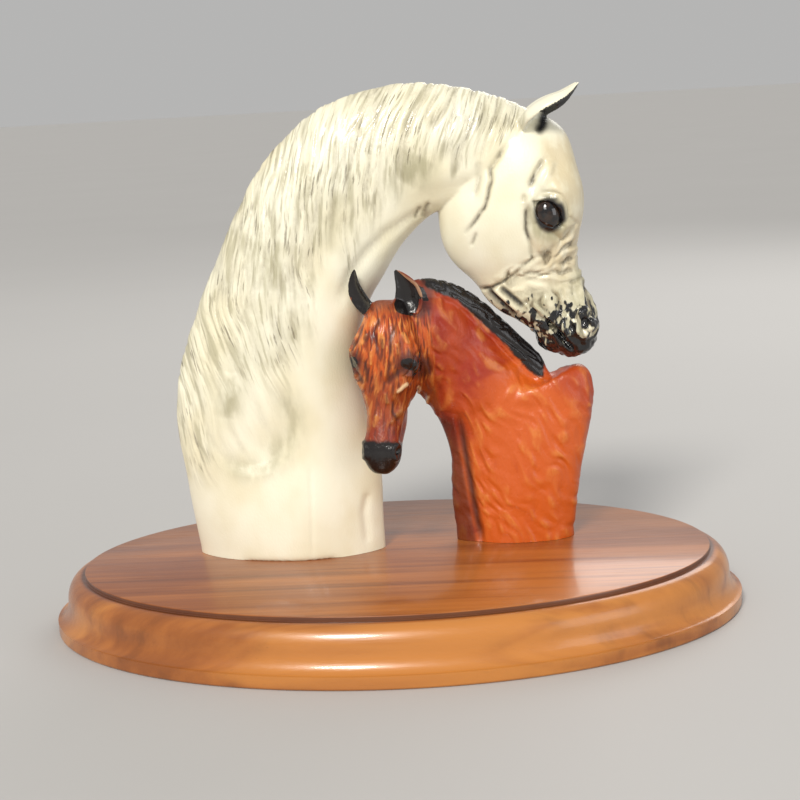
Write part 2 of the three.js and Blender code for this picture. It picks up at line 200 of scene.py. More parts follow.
class Skin:
    """The fine surface of a bust: it is carved point by point, then painted."""

    weld = 0.01 * MM
    squarest = math.radians(30)
    skewest = math.radians(60)
    first_relax = 4
    sunk_foot = 0.2

    def __init__(self, node: str, name: str, voxel: float) -> None:
        """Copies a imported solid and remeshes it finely.

        Args:
            node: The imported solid's name.
            name: The new piece's name.
            voxel: The size of its squares, in millimetres.
        """
        self.object = add_to_scene(name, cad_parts[node].data.copy())
        self.object.data.materials.clear()
        self.select()
        bpy.ops.object.mode_set(mode="EDIT")
        bpy.ops.mesh.select_all(action="SELECT")
        bpy.ops.mesh.remove_doubles(threshold=self.weld)
        bpy.ops.mesh.tris_convert_to_quads(face_threshold=self.squarest, shape_threshold=self.skewest)
        bpy.ops.object.mode_set(mode="OBJECT")
        self.read()
        self.foot = self.points[:, 2].min()
        self.keep_foot_sharp()
        self.apply("SUBSURF", levels=2, render_levels=2)
        self.object.data.remesh_voxel_size = voxel * MM
        self.object.data.remesh_voxel_adaptivity = 0
        bpy.ops.object.voxel_remesh()
        self.relax(self.first_relax)

    def keep_foot_sharp(self) -> None:
        """Creases the edges round the flat foot, so that rounding leaves them."""
        body = bmesh.new()
        body.from_mesh(self.object.data)
        crease = body.edges.layers.float.new("crease_edge")
        for edge in body.edges:
            low = all(end.co.z < (self.foot + 0.05) * MM for end in edge.verts)
            if low and any(face.normal.z > -0.9 for face in edge.link_faces):
                edge[crease] = 1.0
        body.to_mesh(self.object.data)
        body.free()

    def select(self) -> None:
        """Makes this the only selected object and the active one."""
        bpy.ops.object.select_all(action="DESELECT")
        self.object.select_set(True)
        bpy.context.view_layer.objects.active = self.object

    def apply(self, kind: str, **settings: object) -> None:
        """Applies a modifier.

        Args:
            kind: Its type.
            settings: What its properties are set to.
        """
        self.select()
        modifier = self.object.modifiers.new("tool", kind)
        for name, value in settings.items():
            setattr(modifier, name, value)
        bpy.ops.object.modifier_apply(modifier=modifier.name)

    def relax(self, steps: int, where: np.ndarray | None = None) -> None:
        """Smooths the surface, as wet clay is.

        Args:
            steps: How many passes.
            where: How much each point moves, from 0 to 1; all move fully without it.
        """
        group = ""
        if where is not None:
            group = "soft"
            soft = self.object.vertex_groups.new(name=group)
            for share in range(1, 11):
                chosen = np.flatnonzero(np.round(where * 10) == share)
                soft.add(chosen.tolist(), share / 10, "REPLACE")
        self.apply("SMOOTH", factor=0.5, iterations=steps, vertex_group=group)
        self.object.vertex_groups.clear()
        self.read()

    def read(self) -> None:
        """Reads the points and their normals from the mesh."""
        self.points = triples(self.object.data.vertices, "co") / MM
        self.normals = triples(self.object.data.vertex_normals, "vector")

    def push(self, amount: np.ndarray) -> None:
        """Moves each point along its normal.

        Args:
            amount: How far out each goes, in millimetres.
        """
        sole = smooth(self.points[:, 2] - self.foot, 1.5, 0.3) * smooth(-self.normals[:, 2], 0.2, 0.7)
        self.points = self.points + self.normals * (amount * (1 - sole))[:, None]
        self.write()
        self.object.data.update()
        self.read()

    def write(self) -> None:
        """Puts the points back into the mesh."""
        self.object.data.vertices.foreach_set("co", (self.points * MM).ravel())

    def mark(self, name: str, value: np.ndarray) -> None:
        """Keeps a number on each point as an attribute."""
        layer = self.object.data.attributes.new(name, "FLOAT", "POINT")
        layer.data.foreach_set("value", value)

    def paint(self, name: str, amount: np.ndarray) -> None:
        """Keeps an amount of a paint, from 0 to 1, on each point as an attribute."""
        self.mark(name, np.clip(amount, 0, 1))

    def draw_down(self) -> None:
        """Draws the lowest part, which remeshing rounded off, straight down past the foot."""
        rounded, straight = 1.1, 3.0
        level = self.points[:, 2] - self.foot
        drawn = np.interp(level, (rounded, straight), (-self.sunk_foot, straight))
        self.points[:, 2] = self.foot + np.where(level < straight, drawn, level)
        self.write()

    def finish(self, triangles: int, material: bpy.types.Material, node: str, slot: str) -> None:
        """Thins the mesh, dresses it and puts it in the solid's place.

        Args:
            triangles: About how many it keeps.
            material: Its finish.
            node: The solid that it replaces.
            slot: The solid's material slot; not used.
        """
        self.draw_down()
        self.apply("DECIMATE", ratio=min(1.0, triangles / (2 * len(self.object.data.polygons))))
        bpy.ops.object.shade_smooth()
        faces = self.object.data.polygons
        above_sole = triples(faces, "center")[:, 2] > (self.foot - self.sunk_foot / 2) * MM
        faces.foreach_set("use_smooth", above_sole)
        self.object.data.materials.append(material)
        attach(self.object, BODY)
        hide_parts(node)


# Places on a bust


@dataclass(frozen=True)
class Bust:
    """A bust's foot and height, and the places on it in hundredths of that height."""

    foot_x: float
    foot_y: float
    foot_z: float
    height: float

    def flat(self, points: np.ndarray) -> np.ndarray:
        """Each point's place in the bust's side plane: along the base, and up."""
        unit = self.height / 100
        return abreast((points[:, 0] - self.foot_x) / unit, (points[:, 2] - self.foot_z) / unit)

    def nearness(self, points: np.ndarray) -> np.ndarray:
        """How far each point is to the near side of the foot's middle, in millimetres."""
        return self.foot_y - points[:, 1]

    def point(self, x: float, front: float, z: float) -> np.ndarray:
        """The point at a place of the bust, in millimetres."""
        unit = self.height / 100
        return np.array((self.foot_x + x * unit, self.foot_y - front * unit, self.foot_z + z * unit))


@dataclass(frozen=True)
class Neck:
    """The neck's back and front lines, as rows of back x, back z, front x, front z in hundredths."""

    rows: tuple

    def read(self, flat: np.ndarray) -> tuple[np.ndarray, np.ndarray]:
        """Finds where points lie on the neck.

        Args:
            flat: Places in the side plane.

        Returns:
            How far up the neck each is, in rows, and its level: 1 on the back line, -1 on the front line.
        """
        rows = np.array(self.rows)
        fine = np.linspace(0, len(rows) - 1, 12 * len(rows))
        lines = np.stack([np.interp(fine, range(len(rows)), rows[:, k]) for k in range(4)], axis=1)
        middle, half = (lines[:, :2] + lines[:, 2:]) / 2, (lines[:, :2] - lines[:, 2:]) / 2
        best = np.full(len(flat), np.inf)
        station, level = np.zeros(len(flat)), np.zeros(len(flat))
        for number, (centre, way) in enumerate(zip(middle, half)):
            part = (flat - centre) @ way / (way @ way)
            gap = np.linalg.norm(flat - centre - part[:, None] * way, axis=1)
            gap += np.maximum(np.abs(part) - 1, 0)
            nearer = gap < best
            best[nearer], station[nearer], level[nearer] = gap[nearer], fine[number], part[nearer]
        return station, level


@dataclass(frozen=True)
class Head:
    """A head's poll and directions. Places on it are shares of its length."""

    poll: np.ndarray
    along: tuple
    near: tuple
    length: float

    def axes(self) -> tuple[np.ndarray, np.ndarray, np.ndarray]:
        """Works out the head's own directions.

        Returns:
            The ways down the face, out of the forehead and to the near side.
        """
        along = np.array(self.along) / np.linalg.norm(self.along)
        forehead = np.cross(self.near, along)
        forehead /= np.linalg.norm(forehead)
        return along, forehead, np.cross(along, forehead)

    def read(self, points: np.ndarray) -> np.ndarray:
        """Each point's place on the head: along, up and out, in shares of its length."""
        return (points - self.poll) @ np.stack(self.axes(), axis=1) / self.length

    def point(self, along: float, up: float, out: float) -> np.ndarray:
        """The point at a place on the head, in millimetres."""
        a, f, s = self.axes()
        return self.poll + self.length * (along * a + up * f + out * s)


# Materials


class Shader:
    """A material's node tree, written a node at a time."""

    def __init__(self, name: str) -> None:
        """Starts an empty material around a Principled shader.

        Args:
            name: The material's name.
        """
        self.material = bpy.data.materials.new(name)
        self.material.use_nodes = True
        self.tree = self.material.node_tree
        self.tree.nodes.clear()
        self.skin = self.node("BsdfPrincipled")
        self.node("OutputMaterial", Surface=self.skin.outputs["BSDF"])
        self.place = self.node("TexCoord").outputs["Object"]
        self.body: bpy.types.NodeSocket | None = None

    def node(self, kind: str, **inputs: object) -> bpy.types.Node:
        """Adds a node.

        Args:
            kind: Its type, without the word ShaderNode.
            inputs: What its sockets are linked or set to, with _ for a space in their names.

        Returns:
            The node.
        """
        node = self.tree.nodes.new("ShaderNode" + kind)
        for name, value in inputs.items():
            self.put(node.inputs[name.replace("_", " ")], value)
        return node

    def put(self, socket: bpy.types.NodeSocket, value: object) -> None:
        """Links or sets a socket.

        Args:
            socket: The input.
            value: A constant, or the output to link.
        """
        if isinstance(value, bpy.types.NodeSocket):
            self.tree.links.new(value, socket)
        else:
            socket.default_value = value

    def attribute(self, name: str) -> bpy.types.NodeSocket:
        """Reads a number that is kept on the points.

        Args:
            name: The attribute's name.

        Returns:
            The number.
        """
        node = self.node("Attribute")
        node.attribute_name = name
        return node.outputs["Fac"]

    def noise(self, scale: tuple, detail: float, rough: float = 0.5, warp: float = 0.0,
              on: bpy.types.NodeSocket | None = None) -> bpy.types.NodeSocket:
        """Noise on Object coordinates or on another vector.

        Args:
            scale: Cells to the metre along each axis.
            detail: Octaves.
            rough: How strong the fine ones are.
            warp: The noise's own distortion.
            on: The vector, where it isn't the Object coordinates.

        Returns:
            The noise's value.
        """
        cells = self.node("Mapping", Vector=on or self.place, Scale=scale).outputs["Vector"]
        node = self.node("TexNoise", Vector=cells, Scale=1.0, Detail=detail, Roughness=rough, Distortion=warp)
        return node.outputs["Fac"]

    def hair(self, width: float, stretch: float) -> bpy.types.NodeSocket:
        """Noise drawn out along the hair, on the attributes across and down.

        Args:
            width: How wide a stroke is, in millimetres.
            stretch: How many times longer than wide it is.

        Returns:
            The noise's value.
        """
        along = self.node("CombineXYZ", X=self.attribute("across"), Y=self.attribute("down"))
        return self.noise((1 / width, 1 / (width * stretch), 1), 1.5, on=along.outputs["Vector"])

    def points(self, mottle: float, low: float, high: float) -> bpy.types.NodeSocket:
        """Where black paint lies: solid inside its attribute, and mottled where that fades.

        Args:
            mottle: How strongly it breaks up.
            low: The amount at which the paint starts.
            high: The amount at which it is solid.

        Returns:
            1 under the paint and 0 beside it.
        """
        amount = self.attribute("black")
        blot = self.reckon("SUBTRACT", self.noise((400, 400, 250), 1), 0.5)
        blot = self.times(blot, mottle, self.ramp(amount, 0.02, 0.25))
        return self.ramp(self.reckon("ADD", amount, blot), low, high)

    def ramp(self, value: bpy.types.NodeSocket, low: float, high: float, start: float = 0.0,
             end: float = 1.0) -> bpy.types.NodeSocket:
        """Grades a value smoothly.

        Args:
            value: What is graded.
            low: Where the result is start.
            high: Where it is end; it may be less than low.
            start: The result at low.
            end: The result at high.

        Returns:
            The graded value.
        """
        node = self.node("MapRange", Value=value, From_Min=low, From_Max=high, To_Min=start, To_Max=end)
        node.interpolation_type = "SMOOTHSTEP"
        return node.outputs["Result"]

    def mix(self, amount: object, first: object, second: object) -> bpy.types.NodeSocket:
        """Blends two colours.

        Args:
            amount: How much of the second there is.
            first: A colour, fixed or linked.
            second: The other.

        Returns:
            The blend.
        """
        node = self.node("Mix")
        node.data_type = "RGBA"
        colours = [s for s in node.inputs if s.type == "RGBA"]
        self.put(node.inputs["Factor"], amount)
        for socket, value in zip(colours, (first, second)):
            self.put(socket, (*value, 1.0) if isinstance(value, tuple) else value)
        return next(s for s in node.outputs if s.type == "RGBA")

    def reckon(self, operation: str, first: object, second: object) -> bpy.types.NodeSocket:
        """Works out one sum.

        Args:
            operation: The Math node's name for it.
            first: A number, fixed or linked.
            second: The other.

        Returns:
            The result.
        """
        node = self.node("Math")
        node.operation = operation
        self.put(node.inputs[0], first)
        self.put(node.inputs[1], second)
        return node.outputs["Value"]

    def times(self, first: object, *others: object) -> bpy.types.NodeSocket:
        """The product of the values."""
        return functools.reduce(functools.partial(self.reckon, "MULTIPLY"), others, first)

    def greater(self, first: object, second: object) -> bpy.types.NodeSocket:
        """The greater of two values."""
        return self.reckon("MAXIMUM", first, second)

    def lay(self, colour: tuple, *amounts: object) -> None:
        """Lays a colour over the body, as thick as the product of the amounts."""
        self.body = self.mix(self.times(*amounts), self.body, colour)

    def bump(self, height: bpy.types.NodeSocket, distance: float, strength: float) -> None:
        """Gives the shader a fine relief.

        Args:
            height: What stands out.
            distance: How far, in metres.
            strength: How much of it shows.
        """
        node = self.node("Bump", Height=height, Distance=distance, Strength=strength)
        self.set(Normal=node.outputs["Normal"])

    def set(self, **values: object) -> None:
        """Sets or links sockets of the Principled shader by their names, with _ for a space."""
        for name, value in values.items():
            self.put(self.skin.inputs[name.replace("_", " ")], value)


@dataclass(frozen=True)
class GreyCoat:
    """Cream white paint with painted shade in warm grey darkening the carving and hollows, and glossy black
    points.
    """

    white: tuple = (0.80, 0.74, 0.53)
    bright: tuple = (0.90, 0.87, 0.70)
    tan: tuple = (0.56, 0.43, 0.23)
    # painted shade: the dark laid in the carved creases and hair lines
    crease_shade: tuple = (0.13, 0.10, 0.055)
    # colour of the painted shade, and of the mane's streaks' tone
    shade: tuple = (0.38, 0.35, 0.215)
    black: tuple = (0.010, 0.010, 0.011)

    def make(self) -> bpy.types.Material:
        """Makes the material.

        Returns:
            The material, ready for a piece.
        """
        s = Shader("grey_coat_paint")
        mane = s.attribute("mane")
        s.body = s.mix(s.ramp(s.noise((32, 32, 24), 3), 0.34, 0.66), self.white, self.bright)
        s.lay(self.tan, s.attribute("tan"), s.ramp(s.noise((260, 260, 140), 3), 0.3, 0.6, 0.45, 0.9))
        # painted shade from the shade attribute, broken up by noise
        s.lay(self.shade, s.attribute("shade"), s.ramp(s.noise((190, 190, 80), 3), 0.3, 0.62, 0.35, 1.0))
        tone = s.greater(s.ramp(s.hair(3.6, 6), 0.5, 0.68), s.ramp(s.hair(1.5, 9), 0.53, 0.68))
        s.lay(self.shade, tone, mane, 0.6)
        # painted shade: the mane's hair lines and the carved creases are darkened
        patch = s.ramp(s.noise((48, 48, 40), 2), 0.4, 0.6, 0.2, 1.0)
        strands = s.greater(s.ramp(s.hair(1.2, 10), 0.4, 0.3), s.ramp(s.hair(2.4, 8), 0.38, 0.29))
        lines = s.times(strands, patch, mane)
        crease_and_hair_shade = s.greater(s.attribute("crease_shade"), s.times(lines, 0.72))
        s.lay(self.crease_shade, crease_and_hair_shade, s.ramp(s.noise((900, 900, 400), 3), 0.25, 0.6, 0.55, 1.0))
        black = s.greater(s.points(1.7, 0.38, 0.56), s.ramp(s.attribute("lids"), 0.1, 0.9))
        s.lay(self.black, black)
        s.set(Base_Color=s.body, Roughness=s.ramp(black, 0, 1, 0.4, 0.13), IOR=1.5)
        s.set(Coat_Weight=0.3, Coat_Roughness=0.1)
        lumps = s.times(s.noise((420, 420, 300), 2), black, 1.6)
        grain = s.reckon("ADD", s.times(s.noise((1300, 1300, 800), 2), 0.3), lumps)
        s.bump(s.reckon("SUBTRACT", grain, lines), 0.0004, 0.7)
        return s.material


@dataclass(frozen=True)
class BayCoat:
    """Red bay paint brushed over with gold, with painted shade and painted highlights, and black points."""

    red: tuple = (0.33, 0.022, 0.004)
    orange: tuple = (0.58, 0.098, 0.007)
    # brushed gold, and painted highlight on the face's raised strokes
    gold: tuple = (0.74, 0.27, 0.055)
    # colour of the painted highlight
    bright: tuple = (0.93, 0.68, 0.40)
    # colour of the painted shade, and of the face's dark hair strokes
    dark_strokes_and_shade: tuple = (0.050, 0.007, 0.004)
    black: tuple = (0.008, 0.006, 0.006)

    def make(self) -> bpy.types.Material:
        """Makes the material.

        Returns:
            The material, ready for a piece.
        """
        s = Shader("bay_coat_paint")
        face, dark_strokes_and_shade = s.attribute("face"), s.attribute("dark_strokes_and_shade")
        # oranger toward the neck's lower right
        cloud = s.reckon("ADD", s.noise((40, 40, 32), 4, warp=0.6), s.times(s.attribute("orange_toward_lower_right"), 0.14))
        s.body = s.mix(s.ramp(cloud, 0.34, 0.56), self.red, self.orange)
        # redder near the head as painted shade, and along the crest and the right edge
        s.lay(self.red, s.attribute("blush"), 0.85)
        brushed = s.noise((300, 300, 170), 3, warp=1.0)
        s.lay(self.gold, s.attribute("gold"), s.ramp(brushed, 0.36, 0.6, 0.35, 1.0))
        stroke = s.hair(1.15, 6)
        # dark hair strokes on the face, then painted shade from its attribute
        s.lay(self.dark_strokes_and_shade, s.ramp(stroke, 0.48, 0.36), face, 0.7)
        s.lay(self.dark_strokes_and_shade, dark_strokes_and_shade)
        patch = s.ramp(s.noise((90, 90, 60), 2), 0.38, 0.62, 0.3, 1.0)
        # gold on the face's raised hair strokes, a painted highlight
        raised = s.times(s.ramp(stroke, 0.53, 0.64), patch, face, s.ramp(dark_strokes_and_shade, 0.2, 0.9, 0.9, 0.05))
        s.lay(self.gold, raised)
        # painted highlight from the bright attribute
        s.lay(self.bright, s.attribute("bright"))
        black = s.points(0.5, 0.25, 0.65)
        s.lay(self.black, black)
        s.set(Base_Color=s.body, Roughness=s.ramp(black, 0, 1, 0.42, 0.22), IOR=1.5)
        s.set(Coat_Weight=0.18, Coat_Roughness=0.16)
        relief = s.reckon("ADD", s.noise((600, 600, 380), 3, warp=0.8), s.times(raised, 0.8))
        s.bump(relief, 0.0004, 0.6)
        return s.material


@dataclass(frozen=True)
class EyeGlaze:
    """The glossy dark eye."""

    iris: tuple = (0.026, 0.013, 0.007)
    pupil: tuple = (0.003, 0.003, 0.004)

    def make(self) -> bpy.types.Material:
        """Makes the material.

        Returns:
            The material, ready for a piece.
        """
        s = Shader("eye_glaze")
        s.set(Base_Color=s.mix(s.ramp(s.noise((300, 300, 300), 2), 0.4, 0.6), self.pupil, self.iris))
        s.set(Roughness=0.05, IOR=1.5, Coat_Weight=0.6, Coat_Roughness=0.03)
        return s.material


@dataclass(frozen=True)
class VarnishedWood:
    """Reddish brown hardwood with its grain along X, under satin varnish, with a painted highlight on its
    moulded edge and painted shade in its quirk.
    """

    light: tuple = (0.43, 0.140, 0.026)
    middle: tuple = (0.235, 0.062, 0.011)
    dark: tuple = (0.080, 0.020, 0.005)
    # colour of the painted highlight on the moulded edge
    golden_highlight: tuple = (0.60, 0.25, 0.050)

    def make(self) -> bpy.types.Material:
        """Makes the material.

        Returns:
            The material, ready for a piece.
        """
        s = Shader("varnished_wood")
        board = s.noise((5, 26, 40), 3, warp=0.8)
        rings = s.noise((3.5, 170, 60), 5, 0.6, 0.15)
        pores = s.noise((60, 1400, 1400), 3, 0.7)
        tone = s.reckon("ADD", s.times(board, 0.6), s.times(rings, 0.4))
        s.body = s.mix(s.ramp(tone, 0.36, 0.62), self.middle, self.light)
        s.lay(self.dark, s.ramp(rings, 0.46, 0.28, 0.0, 0.3))
        s.lay(self.dark, s.ramp(pores, 0.36, 0.22, 0.0, 0.7))
        # painted highlight on the moulded edge
        s.lay(self.golden_highlight, s.attribute("rim"), s.ramp(board, 0.4, 0.6, 0.1, 0.5))
        # painted shade in the quirk
        s.lay(self.dark, s.attribute("quirk_shade"), 0.85)
        s.set(Base_Color=s.body, Roughness=s.ramp(pores, 0.2, 0.6, 0.42, 0.28), IOR=1.5)
        s.set(Coat_Weight=0.35, Coat_Roughness=0.1)
        s.bump(pores, 0.00012, 0.4)
        return s.material


# Carving that both busts share


def carved(across: np.ndarray, down: np.ndarray, out: np.ndarray, width: float, seed: int,
           stretch: float = 9) -> np.ndarray:
    """Carved strands: creases that part and join again.

    Args:
        across: Where each point lies across the strands, in millimetres.
        down: Where it lies along them.
        out: Where it lies in the third direction.
        width: A strand's usual width.
        seed: Which pattern.
        stretch: How many times longer than wide a strand is.

    Returns:
        From -1 in a crease to about 0.3 on a strand.
    """
    where = abreast(across / width, down / (width * stretch), out / (width * 6))
    crease = 1 - np.abs(lattice_noise(where, seed)) * 3.6
    return -np.clip(crease, 0, 1) + 0.3 * lattice_noise(where * 0.5, seed + 1)


@dataclass(frozen=True)
class Eye:
    """A head's eye: its middle, the ball's radii and the opening of its lids, in shares of the head."""

    place: tuple
    radii: tuple
    slant: float
    half_length: float = 0.074
    upper: float = 0.043
    lower: float = 0.031

    def outside(self, profile: np.ndarray) -> np.ndarray:
        """Measures from the opening of the lids.

        Args:
            profile: Places in the head's side plane.

        Returns:
            How far each is outside the opening; less than 0 within it.
        """
        turn = math.radians(self.slant)
        away = profile - np.array(self.place[:2])
        along = away[:, 0] * math.cos(turn) + away[:, 1] * math.sin(turn)
        up = away[:, 1] * math.cos(turn) - away[:, 0] * math.sin(turn)
        arch = np.clip(1 - (along / self.half_length) ** 2, 0, 1)
        gap = np.where(up > 0, up - self.upper * arch, -up - self.lower * arch)
        return np.maximum(gap, np.abs(along) - self.half_length)

    def lids(self, profile: np.ndarray, height: float) -> np.ndarray:
        """The relief of the lids around the ball.

        Args:
            profile: Places in the head's side plane.
            height: How far the lids stand out, in millimetres.

        Returns:
            How far out each point goes, in millimetres.
        """
        gap = self.outside(profile)
        rim = smooth(gap, 0, 0.008) * smooth(gap, 0.042, 0.012)
        fold = bell(gap - 0.046, 0.008) * smooth(profile[:, 1] - self.place[1], -0.02, 0.02)
        return height * (rim - 0.8 * smooth(gap, 0.004, -0.004) - 0.7 * fold)

    def balls(self, head: Head, owner: str, slot: str) -> list[bpy.types.Object]:
        """Sets two glossy balls into a head.

        Args:
            head: The head.
            owner: Whose eyes they are, for their names.
            slot: The bust's material slot; not used.

        Returns:
            The near ball and the far one.
        """
        balls = []
        glaze = EyeGlaze().make()
        along, forehead, side = (Vector(axis) for axis in head.axes())
        for name, out in (("near", 1), ("far", -1)):
            bpy.ops.object.select_all(action="DESELECT")
            bpy.ops.mesh.primitive_uv_sphere_add(segments=48, ring_count=24, radius=1)
            ball = bpy.context.object
            ball.name = f"{owner}_eye_{name}"
            turn = Matrix((along, forehead, side)).transposed().to_4x4()
            grow = Matrix.Diagonal((*(r * head.length * MM for r in self.radii), 1))
            middle = Vector(head.point(self.place[0], self.place[1], self.place[2] * out)) * MM
            ball.data.transform(Matrix.Translation(middle) @ turn @ grow)
            bpy.ops.object.shade_smooth()
            ball.data.materials.append(glaze)
            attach(ball, BODY)
            balls.append(ball)
        return balls


@dataclass(frozen=True)
class Nostril:
    """A head's nostril in its side plane: its middle, radii and lean, in shares of the head."""

    place: tuple
    radii: tuple
    lean: float = 0.0

    def away(self, profile: np.ndarray) -> np.ndarray:
        """How far each place is from the nostril's middle: 1 on its rim."""
        along, up = profile.T
        return oval(along + self.lean * (up - self.place[1]), up, self.place, self.radii)


@dataclass
class Horse:
    """A bust's measures and the order of work on it.

    The foot's middle, the height and the head's length are shares of the mare's height. The poll is a place
    on the bust.
    """

    name: str
    slot: str
    coat: GreyCoat | BayCoat
    voxel: float
    triangles: int
    foot: tuple
    height: float
    poll: tuple
    down_face: tuple
    near_side: tuple
    head_length: float
    neck: Neck
    face_lines: tuple
    eye: Eye
    nostril: Nostril
    bust: Bust = field(init=False)
    head: Head = field(init=False)

    def __post_init__(self) -> None:
        """Takes the bust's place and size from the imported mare."""
        low, high = (corner[2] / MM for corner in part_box("mare_bust"))
        mare = (high - low) / MARE_TOP
        self.bust = Bust(self.foot[0] * mare, self.foot[1] * mare, low, self.height * mare)
        self.head = Head(self.bust.point(*self.poll), self.down_face, self.near_side, self.head_length * mare)

    def build(self) -> list[bpy.types.Object]:
        """Carves, paints and places the bust and its eyes.

        Returns:
            The pieces.
        """
        self.skin = Skin(f"{self.name}_bust", f"{self.name}_coat", self.voxel)
        self.carve()
        self.paint()
        self.skin.finish(self.triangles, self.coat.make(), f"{self.name}_bust", self.slot)
        return [self.skin.object, *self.eye.balls(self.head, self.name, self.slot)]

    def carve(self) -> None:
        """Each horse has its own carving."""
        raise NotImplementedError

    def paint(self) -> None:
        """Each horse has its own paint."""
        raise NotImplementedError


# The mare


@dataclass
class Mare(Horse):
    """The mare's bust: carved mane, face and painted points."""

    name: str = "mare"
    slot: str = "grey_coat"
    coat: GreyCoat = GreyCoat()
    voxel: float = 0.6
    triangles: int = 196000
    foot: tuple = (-0.223, 0.063)
    height: float = 1.0
    poll: tuple = (52.4, 0, 91.3)
    down_face: tuple = (0.24, 0, -0.971)
    near_side: tuple = (0, -1, 0)
    head_length: float = 0.524
    neck: Neck = Neck((
        (-21.4, 0, 20.4, 0), (-23.6, 18.5, 20.3, 17), (-24.6, 32, 18.3, 28.2), (-21.4, 46.6, 16.7, 38.8),
        (-15.5, 59.7, 17.4, 47.6), (-8.7, 73.8, 19.9, 54.4), (0, 86.9, 22.8, 58.9), (12.4, 96.3, 25.4, 63.1),
        (28.6, 99.9, 28.4, 67), (43.2, 97.4, 34, 71.8), (52.4, 93.2, 42.2, 74.5),
    ))
    face_lines: tuple = (
        Line(((0.091, -0.069), (0.12, -0.105), (0.145, -0.132), (0.162, -0.158), (0.208, -0.167),
              (0.259, -0.195), (0.302, -0.224), (0.345, -0.275), (0.377, -0.319)), 0.0085, 1.1),
        Line(((0.39, -0.278), (0.435, -0.315)), 0.007, 0.7),
        Line(((0.12, -0.19), (0.19, -0.21), (0.25, -0.245)), 0.012, 0.6),
        Line(((0.187, 0.057), (0.219, 0.018), (0.274, -0.028)), 0.011, 1.7),
        Line(((0.205, 0.088), (0.25, 0.052), (0.29, 0.016)), 0.014, -0.9),
        Line(((0.298, -0.055), (0.325, -0.066)), 0.009, 1.0),
        Line(((0.35, -0.06), (0.366, -0.066), (0.428, -0.086), (0.497, -0.085), (0.553, -0.097),
              (0.576, -0.15)), 0.0085, 1.2),
        Line(((0.42, -0.045), (0.48, -0.052), (0.545, -0.055)), 0.014, -0.8),
        Line(((0.576, -0.15), (0.611, -0.22), (0.627, -0.29), (0.622, -0.335)), 0.009, 1.5),
        Line(((0.985, -0.03), (0.93, -0.055), (0.87, -0.083), (0.81, -0.11), (0.785, -0.15)), 0.008, 0.9),
    )
    jaw_bars: tuple = (
        Line(((0.632, -0.280), (0.748, -0.207)), 0.0125, -1.2),
        Line(((0.63, -0.337), (0.778, -0.245)), 0.0125, -1.0),
        Line(((0.625, -0.309), (0.765, -0.226)), 0.0155, 1.6),
        Line(((0.63, -0.253), (0.735, -0.183)), 0.0145, 1.4),
    )
    neck_lines: tuple = (
        Line(((33.5, 73.5), (29, 71.5), (24.1, 68.6), (20, 65), (16.3, 60.6), (13.9, 55.5)), 1.3, 1.2),
        Line(((5.5, 20.4), (5.4, 12), (4.9, 1)), 0.5, 0.35),
        Line(((17.2, 13), (16.2, 9), (16.6, 2)), 0.9, 0.7),
        Line(((32.2, 71.2), (33.4, 74.6)), 0.55, 1.0),
        Line(((30.6, 71), (31.6, 73.8)), 0.45, 0.8),
    )
    mane_edge: tuple = ((0, 1.2, 2.2, 4, 6, 8, 9.5, 10), (0.8, 0.35, -0.05, -0.4, -0.35, -0.3, -0.3, -0.2))
    strands: tuple = ((8.0, 1), (3.8, 2), (2.2, 3))
    hollow_middle: tuple = (-7.5, 30.0)
    hollow_radius: float = 12.0
    hollow_way: tuple = (0.755, -0.656)
    muzzle_bands: tuple = ((115, 0.48, 0.66, 1.0, 61), (70, 0.56, 0.74, 0.7, 63), (-8, 0.68, 0.95, 1.0, 62))
    ear_root: tuple = ((0.085, 0.055), (0.062, 0.09), (0.035, 0.105), (0.012, 0.12))
    # painted shade: paths of grey in the neck's hollows, each with its width and amount
    painted_shade_paths: tuple = (
        (((32.3, 84.7), (28.8, 78.7)), 4.2, 0.9), (((0.5, 68.8), (-0.8, 58)), 4.0, 0.8),
        (((3, 54), (5.1, 47)), 3.0, 0.6), (((-10, 40.7), (-11.6, 31)), 2.8, 0.85),
        (((1.4, 27), (-3.3, 22)), 3.0, 0.6), (((-8, 88), (2, 92)), 4.0, 0.5),
        (((16, 78), (12, 70)), 4.0, 0.5),
    )
    eye: Eye = Eye((0.396, 0.012, 0.146), (0.066, 0.053, 0.046), 32)
    nostril: Nostril = Nostril((0.862, 0.034), (0.04, 0.026), 0.4)

    def carve(self) -> None:
        """Carves the mane and neck, then the head."""
        self.carve_mane()
        self.carve_head()

    def fall(self, flat: np.ndarray) -> np.ndarray:
        """Straightens the mane's hanging strands.

        Args:
            flat: Places in the bust's side plane.

        Returns:
            How far across the strands each is, in hundredths of the height.
        """
        x, z = flat.T
        sweep = np.where(z < 60, np.interp(x, (-22, -12, 0), (0.0032, 0.005, 0.0068)), 0.0054)
        return x - sweep * (z - 60) ** 2

    def mane_cover(self, flat: np.ndarray) -> np.ndarray:
        """Finds the mane: the near side, from the crest to past mid neck.

        Args:
            flat: Each point's place in the bust's side plane.

        Returns:
            From 0 beside the mane to 1 on it.
        """
        station, level = self.neck.read(flat)
        edge = np.interp(station, *self.mane_edge)
        edge = edge + 0.3 * lattice_noise(abreast(self.fall(flat) / 1.6, flat[:, 1] / 30), 5)
        along, up, _ = self.head.read(self.skin.points).T
        clear = np.maximum(smooth(along + 0.35 * up, 0.07, 0.03), smooth(up, -0.41, -0.46))
        near = smooth(self.bust.nearness(self.skin.points), -6, 2) * smooth(up, 0.06, 0.0)
        return smooth(level, edge - 0.2, edge + 0.2) * near * clear * smooth(flat[:, 1], 13, 26)

